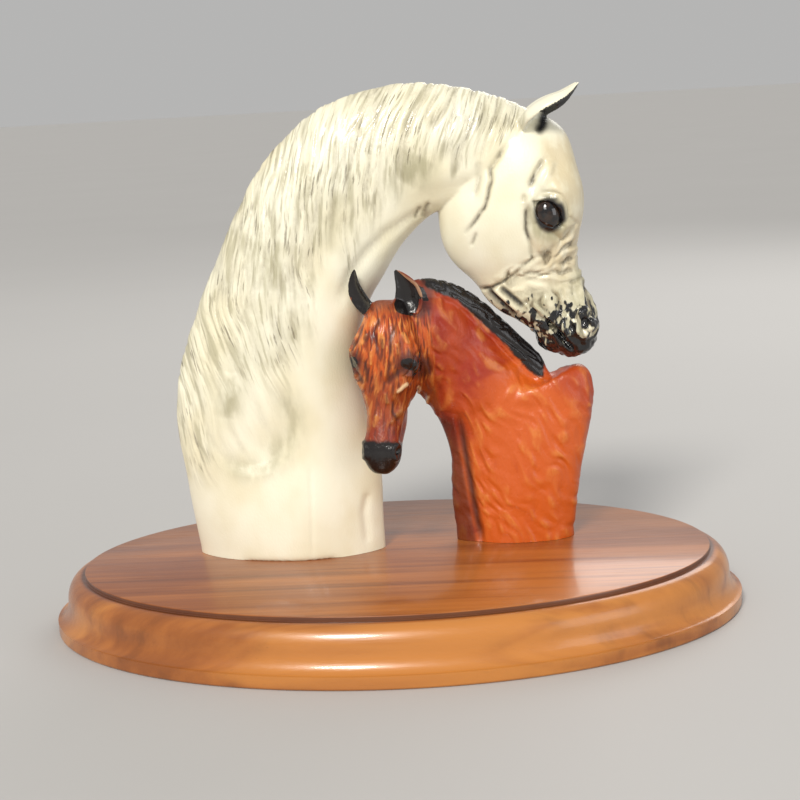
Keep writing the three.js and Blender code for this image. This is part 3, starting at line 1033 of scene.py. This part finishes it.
    def carve_mane(self) -> None:
        """Carves the strands, then the neck's creases and the hollow behind the breast."""
        skin = self.skin
        flat = self.bust.flat(skin.points)
        unit = self.bust.height / 100
        cover = self.mane_cover(flat)
        warp = lattice_noise(flat / 7, 11) * 0.6 + lattice_noise(flat / 18, 12) * 2.0
        across, down = (self.fall(flat) + warp) * unit, flat[:, 1] * unit
        broad, middle, fine = (carved(across, down, skin.points[:, 1], *strand) for strand in self.strands)
        kept = np.maximum(smooth(flat[:, 1], 32, 46), smooth(-flat[:, 0], 14.5, 18.5))
        middle, fine = middle * (0.35 + 0.65 * kept), fine * (0.2 + 0.8 * kept)
        self.creases = cover * np.clip(-0.25 * broad - 0.5 * middle - 0.4 * fine, 0, 1)
        skin.mark("across", across)
        skin.mark("down", down)
        skin.mark("mane", cover * (0.12 + 0.88 * kept))
        amount = cover * (0.5 * broad + 0.45 * middle + 0.3 * fine + 0.2)
        near = smooth(self.bust.nearness(skin.points), 0, 6)
        self.cuts = np.zeros(len(flat))
        for line in self.neck_lines:
            touch = line.touch(flat) * near
            amount -= line.depth * touch
            self.cuts = np.maximum(self.cuts, touch * min(1, 0.45 / line.width))
        away = flat - np.array(self.hollow_middle)
        radius = np.linalg.norm(away, axis=1)
        towards = away @ np.array(self.hollow_way) / np.maximum(radius, 0.1)
        swell = smooth(radius, self.hollow_radius, 0.7 * self.hollow_radius)
        swell = swell * smooth(towards * radius, -6, 8) * near
        # painted shade just inside the hollow's edge
        self.hollow = bell(radius - 0.84 * self.hollow_radius, 2.6) * smooth(towards, -0.2, 0.5) * near
        skin.push(amount - 1.9 * swell)

    def carve_head(self) -> None:
        """Carves the face's creases, lids, nostrils and folds."""
        skin = self.skin
        face = self.head.read(skin.points)
        along, up, _ = face.T
        profile = face[:, :2]
        _, _, side = self.head.axes()
        self.on_head = smooth(up, -0.5, -0.45) * smooth(along, 1.15, 1.1)
        self.sideways = smooth(np.abs(skin.normals @ side), 0.15, 0.5) * self.on_head
        self.sideways = self.sideways * smooth(along, 0.06, 0.1)
        amount, marks, self.slits, self.bars = np.zeros((4, len(face)))
        wander = 0.003 * abreast(lattice_noise(profile / 0.035, 51), lattice_noise(profile / 0.035, 52))
        for line in self.face_lines:
            touch = line.touch(profile + wander) * self.sideways
            amount -= line.depth * touch
            marks = np.maximum(marks, touch * np.clip(line.depth / 1.2, 0, 1))
        marks = marks * (0.45 + 0.55 * smooth(lattice_noise(skin.points / 3.5, 33), -0.6, 0.3))
        for line in self.jaw_bars:
            touch = line.touch(profile) * self.on_head
            amount -= line.depth * touch
            self.slits = np.maximum(self.slits, touch * (line.depth > 0))
            self.bars = np.maximum(self.bars, touch * (line.depth < 0))
        self.slits = np.maximum(0.95 * self.slits, 0.65 * marks * smooth(marks, 0.3, 0.7))
        folds, creases = self.muzzle_folds(face)
        self.marks = most(marks, self.slits, creases)
        nose = self.nostril.away(profile)
        relief = self.eye.lids(profile, 1.15) + 0.8 * bell(nose - 1.2, 0.35) - 2.2 * bell(nose, 0.7)
        self.nose = np.where(self.sideways > 0.01, nose, FAR_AWAY)
        skin.push(amount + folds + self.sideways * relief)

    def muzzle_folds(self, face: np.ndarray) -> tuple[np.ndarray, np.ndarray]:
        """The wrinkled skin over the nose and the lumpy lips.

        Args:
            face: Each point's place on the head.

        Returns:
            How far out each point goes, in millimetres, and how far into a crease it is, from 0 to 1.
        """
        along, up, out = face.T
        unit = self.head.length
        within = smooth(up - 0.61 * (along - 0.63), -0.25, -0.22) * self.on_head
        reach = smooth(along + 0.25 * up, 0.5, 0.54) * within
        reach = reach * (1 - 0.9 * bell(oval(along, up, (0.645, -0.165), (0.04, 0.04)), 1))
        amount, creases = np.zeros((2, len(face)))
        wobble = lattice_noise(face * unit / 5, 64) * 2.2
        for lean, start, end, strength, seed in self.muzzle_bands:
            turn = math.radians(lean)
            across = (up * math.cos(turn) - along * math.sin(turn)) * unit + wobble
            down = (along * math.cos(turn) + up * math.sin(turn)) * unit
            down = down + 4 * lattice_noise(face * unit / 4, seed)
            part = strength * reach * smooth(along, start, start + 0.05) * smooth(along, end, end - 0.07)
            layer = lattice_noise(abreast(across / 1.8, down / 6, out * unit / 9), seed)
            amount += part * 1.3 * layer
            creases = np.maximum(creases, part * smooth(-layer, 0.12, 0.5))
        lips = smooth(along, 0.76, 0.86) * self.on_head
        return amount + lips * 0.7 * lattice_noise(face * unit / 2.4, 21), creases

    def paint(self) -> None:
        """Paints grey shade into the carving and hollows and paints the black points."""
        skin = self.skin
        face = self.head.read(skin.points)
        along, up, out = face.T
        flat = self.bust.flat(skin.points)
        near = smooth(self.bust.nearness(skin.points), -4, 4)
        cuts = self.cuts * near * smooth(flat[:, 1], 20, 55)
        uneven = 0.3 + 0.7 * smooth(lattice_noise(flat / 12, 34), -0.4, 0.4)
        # painted shade: darker in the mane's creases, the face's cut lines and the neck's cuts
        skin.paint("crease_shade", most(0.6 * self.creases * uneven, 0.9 * self.marks, 0.7 * cuts))
        # painted shade: grey in the neck's hollows, the breast's hollow, over the lower face and round the
        # eye; the patches are grey tone at random
        grey = [amount * near * path_reach(flat, way, width) for way, width, amount in self.painted_shade_paths]
        patches = smooth(lattice_noise(flat / 11, 31) + 0.4 * lattice_noise(flat / 4, 32), 0.2, 1.0)
        patches = patches * smooth(flat[:, 1], 28, 44) * (1 - self.on_head)
        under = smooth(along + 0.3 * up, 0.6, 0.72) * self.on_head * (1 - self.bars)
        eye_shade = smooth(oval(along, up, (0.41, 0.01), (0.11, 0.1)), 1.2, 0.6) * self.sideways
        skin.paint("shade", most(*grey, 0.35 * patches, 0.6 * self.hollow, 0.8 * under, 0.9 * eye_shade))
        cheek = smooth(along, 0.4, 0.5) * smooth(up, -0.1, -0.04) * smooth(along, 0.8, 0.6)
        brow = smooth(up, 0.03, 0.08) * smooth(along, 0.08, 0.16) * smooth(along, 0.5, 0.35)
        skin.paint("tan", (0.75 * cheek + 0.6 * brow) * self.on_head)
        muzzle = np.interp(along - 0.12 * up, (0.65, 0.73, 0.8, 0.9, 0.96), (0, 0.24, 0.46, 0.62, 1.0))
        lip = bell(self.nose - 1.3, 0.35) * smooth(up - 0.5 * (along - self.nostril.place[0]), 0.06, 0.02)
        forehead_line = np.interp(along, (-0.1, 0, 0.055, 0.115), (0.0, 0.07, 0.145, 0.175))
        ear = smooth(up - forehead_line, 0.006, 0.016) * smooth(along, 0.12, 0.1)
        down_face, forehead, _ = self.head.axes()
        cup = ear * smooth(skin.normals @ (down_face + 0.25 * forehead), 0.1, 0.4)
        black = most(muzzle * (1 - 0.6 * lip), smooth(self.nose, 0.95, 0.5), cup)
        skin.paint("black", black * self.on_head)
        dark = oval(along, up, (0.402, 0.02), (0.078, 0.07)) + 0.08 * lattice_noise(skin.points / 2.5, 44)
        dark = smooth(dark, 1.15, 0.6) * self.sideways
        root = path_reach(face[:, :2], self.ear_root, 0.025)
        root = root * smooth(out, 0.0, 0.04) * smooth(along, -0.005, 0.015)
        # black round the eye and at the ear's root, and painted shade in the jaw's slits and the strongest
        # face lines
        skin.paint("lids", most(dark, 0.9 * root, 0.8 * self.slits))


# The foal


@dataclass
class Foal(Horse):
    """The foal's bust: upright mane, face turned to the front and painted points."""

    name: str = "foal"
    slot: str = "bay_coat"
    coat: BayCoat = BayCoat()
    voxel: float = 0.5
    triangles: int = 190000
    foot: tuple = (0.262, 0.087)
    height: float = 0.563
    poll: tuple = (-43, 20, 97.5)
    down_face: tuple = (-0.093, -0.22, -0.971)
    near_side: tuple = (-0.985, 0.174, 0)
    head_length: float = 0.364
    neck: Neck = Neck((
        (23.3, 0, -23.3, 0), (29.7, 37.9, -24.3, 25.5), (33.2, 53.4, -24.3, 33), (31.9, 64.7, -25.1, 38.4),
        (18.1, 63.2, -28, 47), (11.2, 61.4, -30, 51), (5.6, 66.4, -32.3, 55), (-2.6, 76.7, -34.8, 58.8),
        (-10.8, 85.8, -36.8, 62), (-19, 94.4, -38.8, 65), (-29.3, 99.5, -40.5, 67.6),
        (-38.8, 98.5, -42.2, 69.8),
    ))
    face_lines: tuple = (
        Line(((0.303, 0.04), (0.389, 0.043)), 0.012, -0.8),
        Line(((0.29, 0.2), (0.34, 0.16), (0.385, 0.12)), 0.012, -0.9),
        Line(((0.255, -0.105), (0.326, -0.109)), 0.012, -0.8),
        Line(((0.19, -0.12), (0.26, -0.16)), 0.012, -0.8),
        Line(((0.21, 0.07), (0.28, 0.1)), 0.012, -0.7),
        Line(((0.2, -0.02), (0.3, -0.03)), 0.012, -0.7),
        Line(((0.535, -0.09), (0.468, -0.153)), 0.012, -1.1),
        Line(((0.59, -0.145), (0.516, -0.19)), 0.012, -1.0),
        Line(((0.535, -0.031), (0.602, -0.042)), 0.012, -0.8),
        Line(((0.716, -0.055), (0.613, -0.109)), 0.012, -0.9),
        Line(((0.55, 0.09), (0.62, 0.075)), 0.012, -0.7),
        Line(((0.66, 0.02), (0.74, 0.03)), 0.012, -0.7),
        Line(((0.501, -0.035), (0.44, -0.09), (0.38, -0.16)), 0.026, 1.0),
        Line(((0.5, 0.1), (0.45, 0.13), (0.4, 0.175)), 0.026, 1.0),
        Line(((0.36, -0.075), (0.42, -0.055), (0.5, -0.05)), 0.016, 0.7),
        Line(((0.36, 0.085), (0.42, 0.07), (0.5, 0.075)), 0.016, 0.7),
        Line(((0.495, 0.155), (0.58, 0.135), (0.68, 0.12)), 0.02, 0.5),
        Line(((0.57, -0.075), (0.64, -0.07), (0.7, -0.09)), 0.013, 0.8),
        Line(((0.12, 0.0), (0.2, 0.03), (0.3, 0.0)), 0.014, 0.6),
        Line(((0.15, -0.09), (0.24, -0.07), (0.33, -0.075)), 0.013, 0.6),
        Line(((0.15, 0.1), (0.26, 0.14), (0.33, 0.19)), 0.013, 0.6),
    )
    side_lines: tuple = (
        Line(((0.985, -0.03), (0.93, -0.055), (0.87, -0.083), (0.81, -0.11)), 0.009, 0.9),
        Line(((0.57, -0.1), (0.6, -0.2), (0.63, -0.28)), 0.014, 0.8),
        Line(((0.15, -0.1), (0.22, -0.19), (0.33, -0.25)), 0.014, 0.7),
        Line(((0.36, -0.07), (0.45, -0.09), (0.55, -0.1)), 0.012, 0.7),
    )
    near_ear: tuple = ((-0.045, -0.105, -0.125, -0.11), (0.012, 0.068, 0.088, 0.068))
    breast_groove: Line = Line(((-20, 50), (-18.6, 38), (-16.6, 22.7), (-14.7, 7.7), (-13.5, 1)), 1.7, 1.6)
    eye: Eye = Eye((0.36, 0.02, 0.1545), (0.066, 0.053, 0.048), 30)
    nostril: Nostril = Nostril((0.868, 0.04), (0.04, 0.032))

    def carve(self) -> None:
        """Carves the neck, then the head."""
        self.soften_shoulder()
        self.carve_neck()
        self.carve_head()

    def soften_shoulder(self) -> None:
        """Rounds off the fold where the neck fans out over the shoulder."""
        flat = self.bust.flat(self.skin.points)
        _, level = self.neck.read(flat)
        x, z = flat.T
        body = smooth(x, -33, -25) * smooth(np.abs(level), 0.9, 0.7) * smooth(z, 3, 8)
        notch = bell(oval(x, z, (12, 59), (1.3, 1)), 11)
        self.skin.relax(70, body)
        self.skin.relax(240, smooth(notch, 0.2, 0.8))

    def carve_neck(self) -> None:
        """Carves the brushed coat, the upright mane's hair and the groove beside the breast."""
        skin = self.skin
        flat = self.bust.flat(skin.points)
        x, z = flat.T
        y = skin.points[:, 1]
        unit = self.bust.height / 100
        station, level = self.neck.read(flat)
        along, up, out = self.head.read(skin.points).T
        self.on_head = smooth(-up, 0.5, 0.42) * smooth(np.abs(out), 0.26, 0.22) * smooth(along, -0.3, -0.25)
        off = (1 - self.on_head * smooth(up, -0.12, -0.02)) * smooth(station, 3.2, 4.0)
        off = off * smooth(x - 0.25 * (z - 63), 16, 10)
        self.mane = smooth(level, 0.96, 1.2) * off
        lean = 0.75 * x - 0.66 * z + lattice_noise(flat / 4, 70)
        tuft = carved((0.66 * x + 0.75 * z) * unit, lean * unit, y, 1.7, 7, 5)
        swirl_x, swirl_z = x + 3.0 * lattice_noise(flat / 9, 71), z + 3.0 * lattice_noise(flat / 9, 72)
        hair = abreast((swirl_x + 0.6 * swirl_z) / 2.2, (swirl_z - 0.6 * swirl_x) / 6, y / 7)
        self.brushed = lattice_noise(hair, 8)
        self.groove = self.breast_groove.touch(flat) * smooth(self.bust.nearness(skin.points), 0, 4)
        ridge = smooth(level, 0.98, 1.08) * off
        amount = ridge * 0.5 * tuft + (1 - ridge) * (1 - self.on_head) * 0.55 * self.brushed
        skin.push(amount - self.breast_groove.depth * self.groove)

    def carve_head(self) -> None:
        """Carves the face's hair, lids, nostrils and lips."""
        skin = self.skin
        face = self.head.read(skin.points)
        along, up, out = face.T
        profile, front = face[:, :2], face[:, (0, 2)]
        _, forehead, side = self.head.axes()
        facing = smooth(skin.normals @ forehead, 0.0, 0.35) * self.on_head * smooth(along, 0.02, 0.08)
        turned = smooth(skin.normals @ forehead, -0.45, -0.2) * self.on_head
        sideways = smooth(np.abs(skin.normals @ side), 0.15, 0.5) * smooth(along, 0.1, 0.14)
        sideways = sideways * smooth(np.abs(out), 0.3, 0.24) * smooth(-up, 0.5, 0.44)
        # painted highlight goes later on the strongest raised lines where they turn to the side
        amount, self.raised, self.sunk, self.ridge_highlight = np.zeros((4, len(face)))
        for line in self.face_lines:
            reach = line.touch(front)
            amount -= 0.8 * line.depth * reach * facing
            self.raised = np.maximum(self.raised, reach * facing * (line.depth < 0))
            self.sunk = np.maximum(self.sunk, reach * facing * (line.depth > 0))
            self.ridge_highlight = np.maximum(self.ridge_highlight, reach * turned * (line.depth <= -1))
        for line in self.side_lines:
            amount -= line.depth * sideways * line.touch(profile)
        fan = out * (1.25 - 0.9 * np.clip(along, 0, 0.5))
        skin.mark("across", (fan + 0.5 * up) * self.head.length)
        skin.mark("down", along * self.head.length)
        brow = smooth(along, 0.04, 0.12) * smooth(along, 0.8, 0.7) * self.on_head
        self.strokes = lattice_noise(abreast(fan * 60, along * 11, up * 14), 9) * brow
        self.gap = np.where(sideways > 0.02, self.eye.outside(profile), FAR_AWAY)
        nose = self.nostril.away(profile)
        relief = self.eye.lids(profile, 0.8) + 0.6 * bell(nose - 1.15, 0.3) - 1.3 * bell(nose, 0.6)
        self.nose = np.where(sideways > 0.02, nose, FAR_AWAY)
        skin.push(amount + 0.45 * self.strokes + sideways * relief)

    def paint(self) -> None:
        """Brushes gold on what stands out, partly as painted highlight, paints shade and highlights, and
        paints the black points.
        """
        skin = self.skin
        along, up, out = self.head.read(skin.points).T
        x, z = self.bust.flat(skin.points).T
        head, off = self.on_head, 1 - self.on_head
        hairy = head * smooth(up, -0.32, -0.2) * smooth(along, 0.0, 0.06)
        skin.paint("face", hairy * (1 - 0.4 * smooth(along, 0.45, 0.6)))
        # gold: brushed swirls on the body, and painted highlight on the face's raised strokes and lines
        gilt = 0.45 * smooth(self.brushed, 0.1, 0.8) * off
        high = smooth(self.strokes, 0.1, 0.6) * head
        skin.paint("gold", most(0.5 * high, smooth(self.raised, 0.3, 0.8), gilt))
        # painted shade: darker in the face's hollows and cut lines, the breast's groove, the chest's front
        # strip, on faces turned down and round the eyes; darker too at the crown and down the nose
        hollow = smooth(-self.strokes, 0.15, 0.6) * head
        strip = smooth(x + 0.13 * z, -13.5, -16.5) * smooth(z, 56, 46) * off
        under = smooth(-skin.normals[:, 2], 0.3, 0.9)
        crown = smooth(along, 0.16, 0.02) * head
        nose = smooth(along, 0.4, 0.5) * head
        eye_shade = smooth(oval(along, np.abs(out), (0.375, 0.17), (0.085, 0.095)), 1.3, 0.5)
        eye_shade = eye_shade * smooth(up, -0.26, -0.18) * head
        carving = most(0.5 * hollow, 0.9 * self.sunk, 0.9 * self.groove)
        skin.paint("dark_strokes_and_shade", most(carving, 0.75 * strip, 0.5 * under, 0.7 * crown, 0.45 * nose, 0.85 * eye_shade))
        # redder near the head as painted shade, and along the crest and at the right edge; oranger toward the
        # lower right
        cheek = smooth(x, -18, -27) * off
        crest = smooth(z - 62 + 0.9 * x, 8, 20) * off
        reddened = smooth(0.6 * z - x, 33, 58) * off
        skin.paint("orange_toward_lower_right", 1 - np.maximum(reddened, head))
        skin.paint("blush", most(cheek, 0.7 * crest, 0.8 * smooth(x, 28, 32), 0.8 * reddened))
        muzzle = smooth(along, 0.76, 0.87) * head
        socket = smooth(oval(along, np.abs(out), (0.37, 0.165), (0.04, 0.055)), 1.2, 0.3)
        socket = socket * head * smooth(up, -0.15, -0.1)
        middle, half = (np.interp(along, (-0.165, -0.08, 0, 0.07), widths) for widths in self.near_ear)
        side = (middle - out) / half
        # painted highlight along the near ear's rim
        rim = smooth(side, 0.72, 0.9) * smooth(side, 1.5, 1.2)
        rim = rim * smooth(along, -0.01, -0.03) * smooth(up, -0.06, -0.02)
        root = smooth(oval(along, np.abs(out - 0.02), (0.005, 0.135), (0.08, 0.065)), 1.15, 0.85)
        ear = np.maximum(root, smooth(along, 0.0, -0.02)) * smooth(up, -0.11, -0.07)
        ear = ear * (1 - rim) * smooth(side, 1.2, 1.06)
        # painted highlight on the raised side lines and the ear's rim
        skin.paint("bright", np.maximum(0.8 * smooth(self.ridge_highlight, 0.4, 0.9), 0.3 * rim))
        eye, nostril = smooth(self.gap, 0.04, 0.0), smooth(self.nose, 1.1, 0.5)
        skin.paint("black", most(self.mane, muzzle, eye, socket, ear, nostril))


# The base


class Edge(Enum):
    """The parts of the base's moulded edge, from the underside up."""

    FOOT = "foot"
    COVE = "cove"
    OVOLO = "ovolo"


@dataclass
class OvalBase:
    """The oval board with its ogee edge, in millimetres."""

    quirk_depth: float = 2.0
    quirk_ledge: float = 1.2
    ovolo_width: float = 7.0
    ovolo_drop: float = 9.6
    cove_width: float = 5.2
    cove_drop: float = 8.6
    foot_bevel: float = 1.2
    ledge_corner: float = 0.3
    top_arris: float = 0.5
    # how far under the shoulder the painted highlight on the edge starts
    rim_drop: float = 0.2
    near_enough: float = 0.02
    sharp_turn: float = math.radians(35)
    sides: int = 224
    steps: int = 10
    high: np.ndarray = field(init=False)

    def __post_init__(self) -> None:
        """Takes the board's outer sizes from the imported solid."""
        self.high = np.array(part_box("oval_base")[1]) / MM

    def profile(self) -> list[tuple[float, float]]:
        """Draws the moulding from the bottom up.

        Returns:
            Its points, each as how far it is set in from the rim and its height over the underside.
        """
        top = self.high[2]
        shoulder = top - self.quirk_depth
        cove_top = shoulder - self.ovolo_drop
        points = []
        for part in Edge:
            # The ovolo starts on the cove's last point
            for k in range(1 if part is Edge.OVOLO else 0, self.steps + 1):
                turn = math.pi / 2 * k / self.steps
                out, up = 1 - math.cos(turn), math.sin(turn)
                if part is Edge.FOOT:
                    points.append((self.foot_bevel * (1 - up), self.foot_bevel * out))
                elif part is Edge.COVE:
                    points.append((self.cove_width * up, cove_top - self.cove_drop * math.cos(turn)))
                elif part is Edge.OVOLO:
                    points.append((self.cove_width + self.ovolo_width * out, cove_top + self.ovolo_drop * up))
        inner = self.cove_width + self.ovolo_width + self.quirk_ledge
        corner, arris = self.ledge_corner, self.top_arris
        points += [(inner - corner, shoulder), (inner, shoulder + corner), (inner, top - arris)]
        points += [(inner + 0.3 * arris, top - 0.3 * arris), (inner + arris, top)]
        return points

    def size_at(self, inset: float) -> tuple[float, float]:
        """The outline's half length and half width at an inset from the rim, in metres."""
        return (self.high[0] - inset) * MM, (self.high[1] - inset) * MM

    def build(self) -> list[bpy.types.Object]:
        """Extrudes an oval outline up the moulding's profile and closes it at the top.

        Returns:
            The board.
        """
        bpy.ops.object.select_all(action="DESELECT")
        bpy.ops.mesh.primitive_circle_add(vertices=self.sides, radius=1, fill_type="NGON")
        board = bpy.context.object
        board.name = "base_board"
        (inset, height), *rings = self.profile()
        size = self.size_at(inset)
        bpy.ops.object.mode_set(mode="EDIT")
        bpy.ops.mesh.select_all(action="SELECT")
        bpy.ops.transform.resize(value=(*size, 1))
        bpy.ops.transform.translate(value=(0, 0, height * MM))
        for inset, up in rings:
            wanted = self.size_at(inset)
            bpy.ops.mesh.extrude_region_move(TRANSFORM_OT_translate={"value": (0, 0, (up - height) * MM)})
            bpy.ops.transform.resize(value=(wanted[0] / size[0], wanted[1] / size[1], 1))
            size, height = wanted, up
        bpy.ops.mesh.select_all(action="SELECT")
        bpy.ops.mesh.normals_make_consistent(inside=False)
        bpy.ops.object.mode_set(mode="OBJECT")
        bpy.ops.object.shade_smooth_by_angle(angle=self.sharp_turn)
        level = triples(board.data.vertices, "co")[:, 2] / MM - (self.high[2] - self.quirk_depth)
        # the quirk's face, where shade is painted
        quirk_shade = (level > -self.near_enough) & (level < self.quirk_depth - self.ledge_corner)
        # painted shade in the quirk and painted highlight on the moulded edge
        for name, where in (("quirk_shade", quirk_shade), ("rim", level < -self.rim_drop)):
            stain = board.data.attributes.new(name, "FLOAT", "POINT")
            stain.data.foreach_set("value", where.astype(np.float32))
        board.data.materials.append(VarnishedWood().make())
        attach(board, BODY)
        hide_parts("oval_base")
        return [board]


# The studio


@dataclass(frozen=True)
class Lamp:
    """A soft lamp, in metres and watts.

    A sun's place is only its direction, its power is to the square metre, and its breadth is in degrees.
    """

    kind: str
    name: str
    place: tuple
    breadth: float
    power: float
    colour: tuple

    def build(self, aim: Vector) -> None:
        """Adds the lamp and turns it.

        Args:
            aim: What it points at.
        """
        data = bpy.data.lights.new(self.name, self.kind)
        data.energy = self.power
        data.color = self.colour
        lamp = add_to_scene(self.name, data)
        away = Vector(self.place)
        if self.kind == "SUN":
            data.angle = math.radians(self.breadth)
        else:
            data.size = self.breadth
            lamp.location = self.place
            away -= aim
        lamp.rotation_mode = "QUATERNION"
        lamp.rotation_quaternion = away.to_track_quat("Z", "Y")


@dataclass(frozen=True)
class Studio:
    """The camera, floor and lights. The camera's sizes are in millimetres, and its turns in degrees."""

    aim: tuple = (5.9, 0.0, 94.5)
    distance: float = 731.5
    azimuth: float = 3.5
    elevation: float = 10.45
    roll: float = -3.2
    lens: float = 74.9
    sensor: float = 36.0
    lamps: tuple = (
        Lamp("SUN", "main", (-0.28, -1.0, 0.85), 14, 2.3, (1.0, 0.96, 0.89)),
        Lamp("AREA", "key", (-0.3, -1.3, 0.9), 0.5, 4, (1.0, 0.97, 0.92)),
        Lamp("AREA", "fill", (1.3, -0.9, 0.4), 0.8, 4, (0.97, 0.98, 1.0)),
        Lamp("AREA", "back", (0.5, 1.2, 1.0), 0.8, 6, (1.0, 0.98, 0.95)),
    )
    lamps_aim: tuple = (0, 0, 0.12)
    floor_size: float = 60.0
    floor_greys: tuple = ((0.475, 0.468, 0.46), (0.50, 0.493, 0.485))
    sky: tuple = (0.93, 0.925, 0.915, 1)
    sky_strength: float = 0.5

    def camera(self) -> None:
        """Places the camera as the photograph's stood."""
        turn, rise, roll = (math.radians(angle) for angle in (self.azimuth, self.elevation, self.roll))
        back = Vector((math.sin(turn) * math.cos(rise), -math.cos(turn) * math.cos(rise), math.sin(rise)))
        right = Vector((0, 0, 1)).cross(back).normalized()
        up = back.cross(right)
        across = right * math.cos(roll) + up * math.sin(roll)
        upright = up * math.cos(roll) - right * math.sin(roll)
        data = bpy.data.cameras.new("camera")
        data.lens = self.lens
        data.sensor_width = self.sensor
        camera = add_to_scene("camera", data)
        place = Matrix((across, upright, back)).transposed().to_4x4()
        place.translation = (Vector(self.aim) + back * self.distance) * MM
        camera.matrix_world = place
        bpy.context.scene.camera = camera

    def floor(self) -> bpy.types.Object:
        """Lays a wide pale floor.

        Returns:
            The floor.
        """
        bpy.ops.object.select_all(action="DESELECT")
        bpy.ops.mesh.primitive_plane_add(size=self.floor_size, location=(0, 0, 0))
        ground = bpy.context.object
        ground.name = "floor"
        s = Shader("pale_floor")
        s.set(Base_Color=s.mix(s.noise((3, 3, 3), 2), *self.floor_greys), Roughness=0.7)
        ground.data.materials.append(s.material)
        return ground

    def build(self) -> list[bpy.types.Object]:
        """Sets up the whole studio.

        Returns:
            The floor, its only piece.
        """
        self.camera()
        for lamp in self.lamps:
            lamp.build(Vector(self.lamps_aim))
        world = bpy.data.worlds.new("studio")
        bpy.context.scene.world = world
        world.use_nodes = True
        background = world.node_tree.nodes["Background"].inputs
        background["Color"].default_value = self.sky
        background["Strength"].default_value = self.sky_strength
        bpy.context.scene.view_settings.view_transform = "Standard"
        return [self.floor()]


def main() -> None:
    """Builds the trophy in order and reports each piece."""
    for part in (Studio(), OvalBase(), Mare(), Foal()):
        for piece in part.build():
            log.info("%s: %d faces", piece.name, len(piece.data.polygons))


if __name__ == "__main__":
    main()
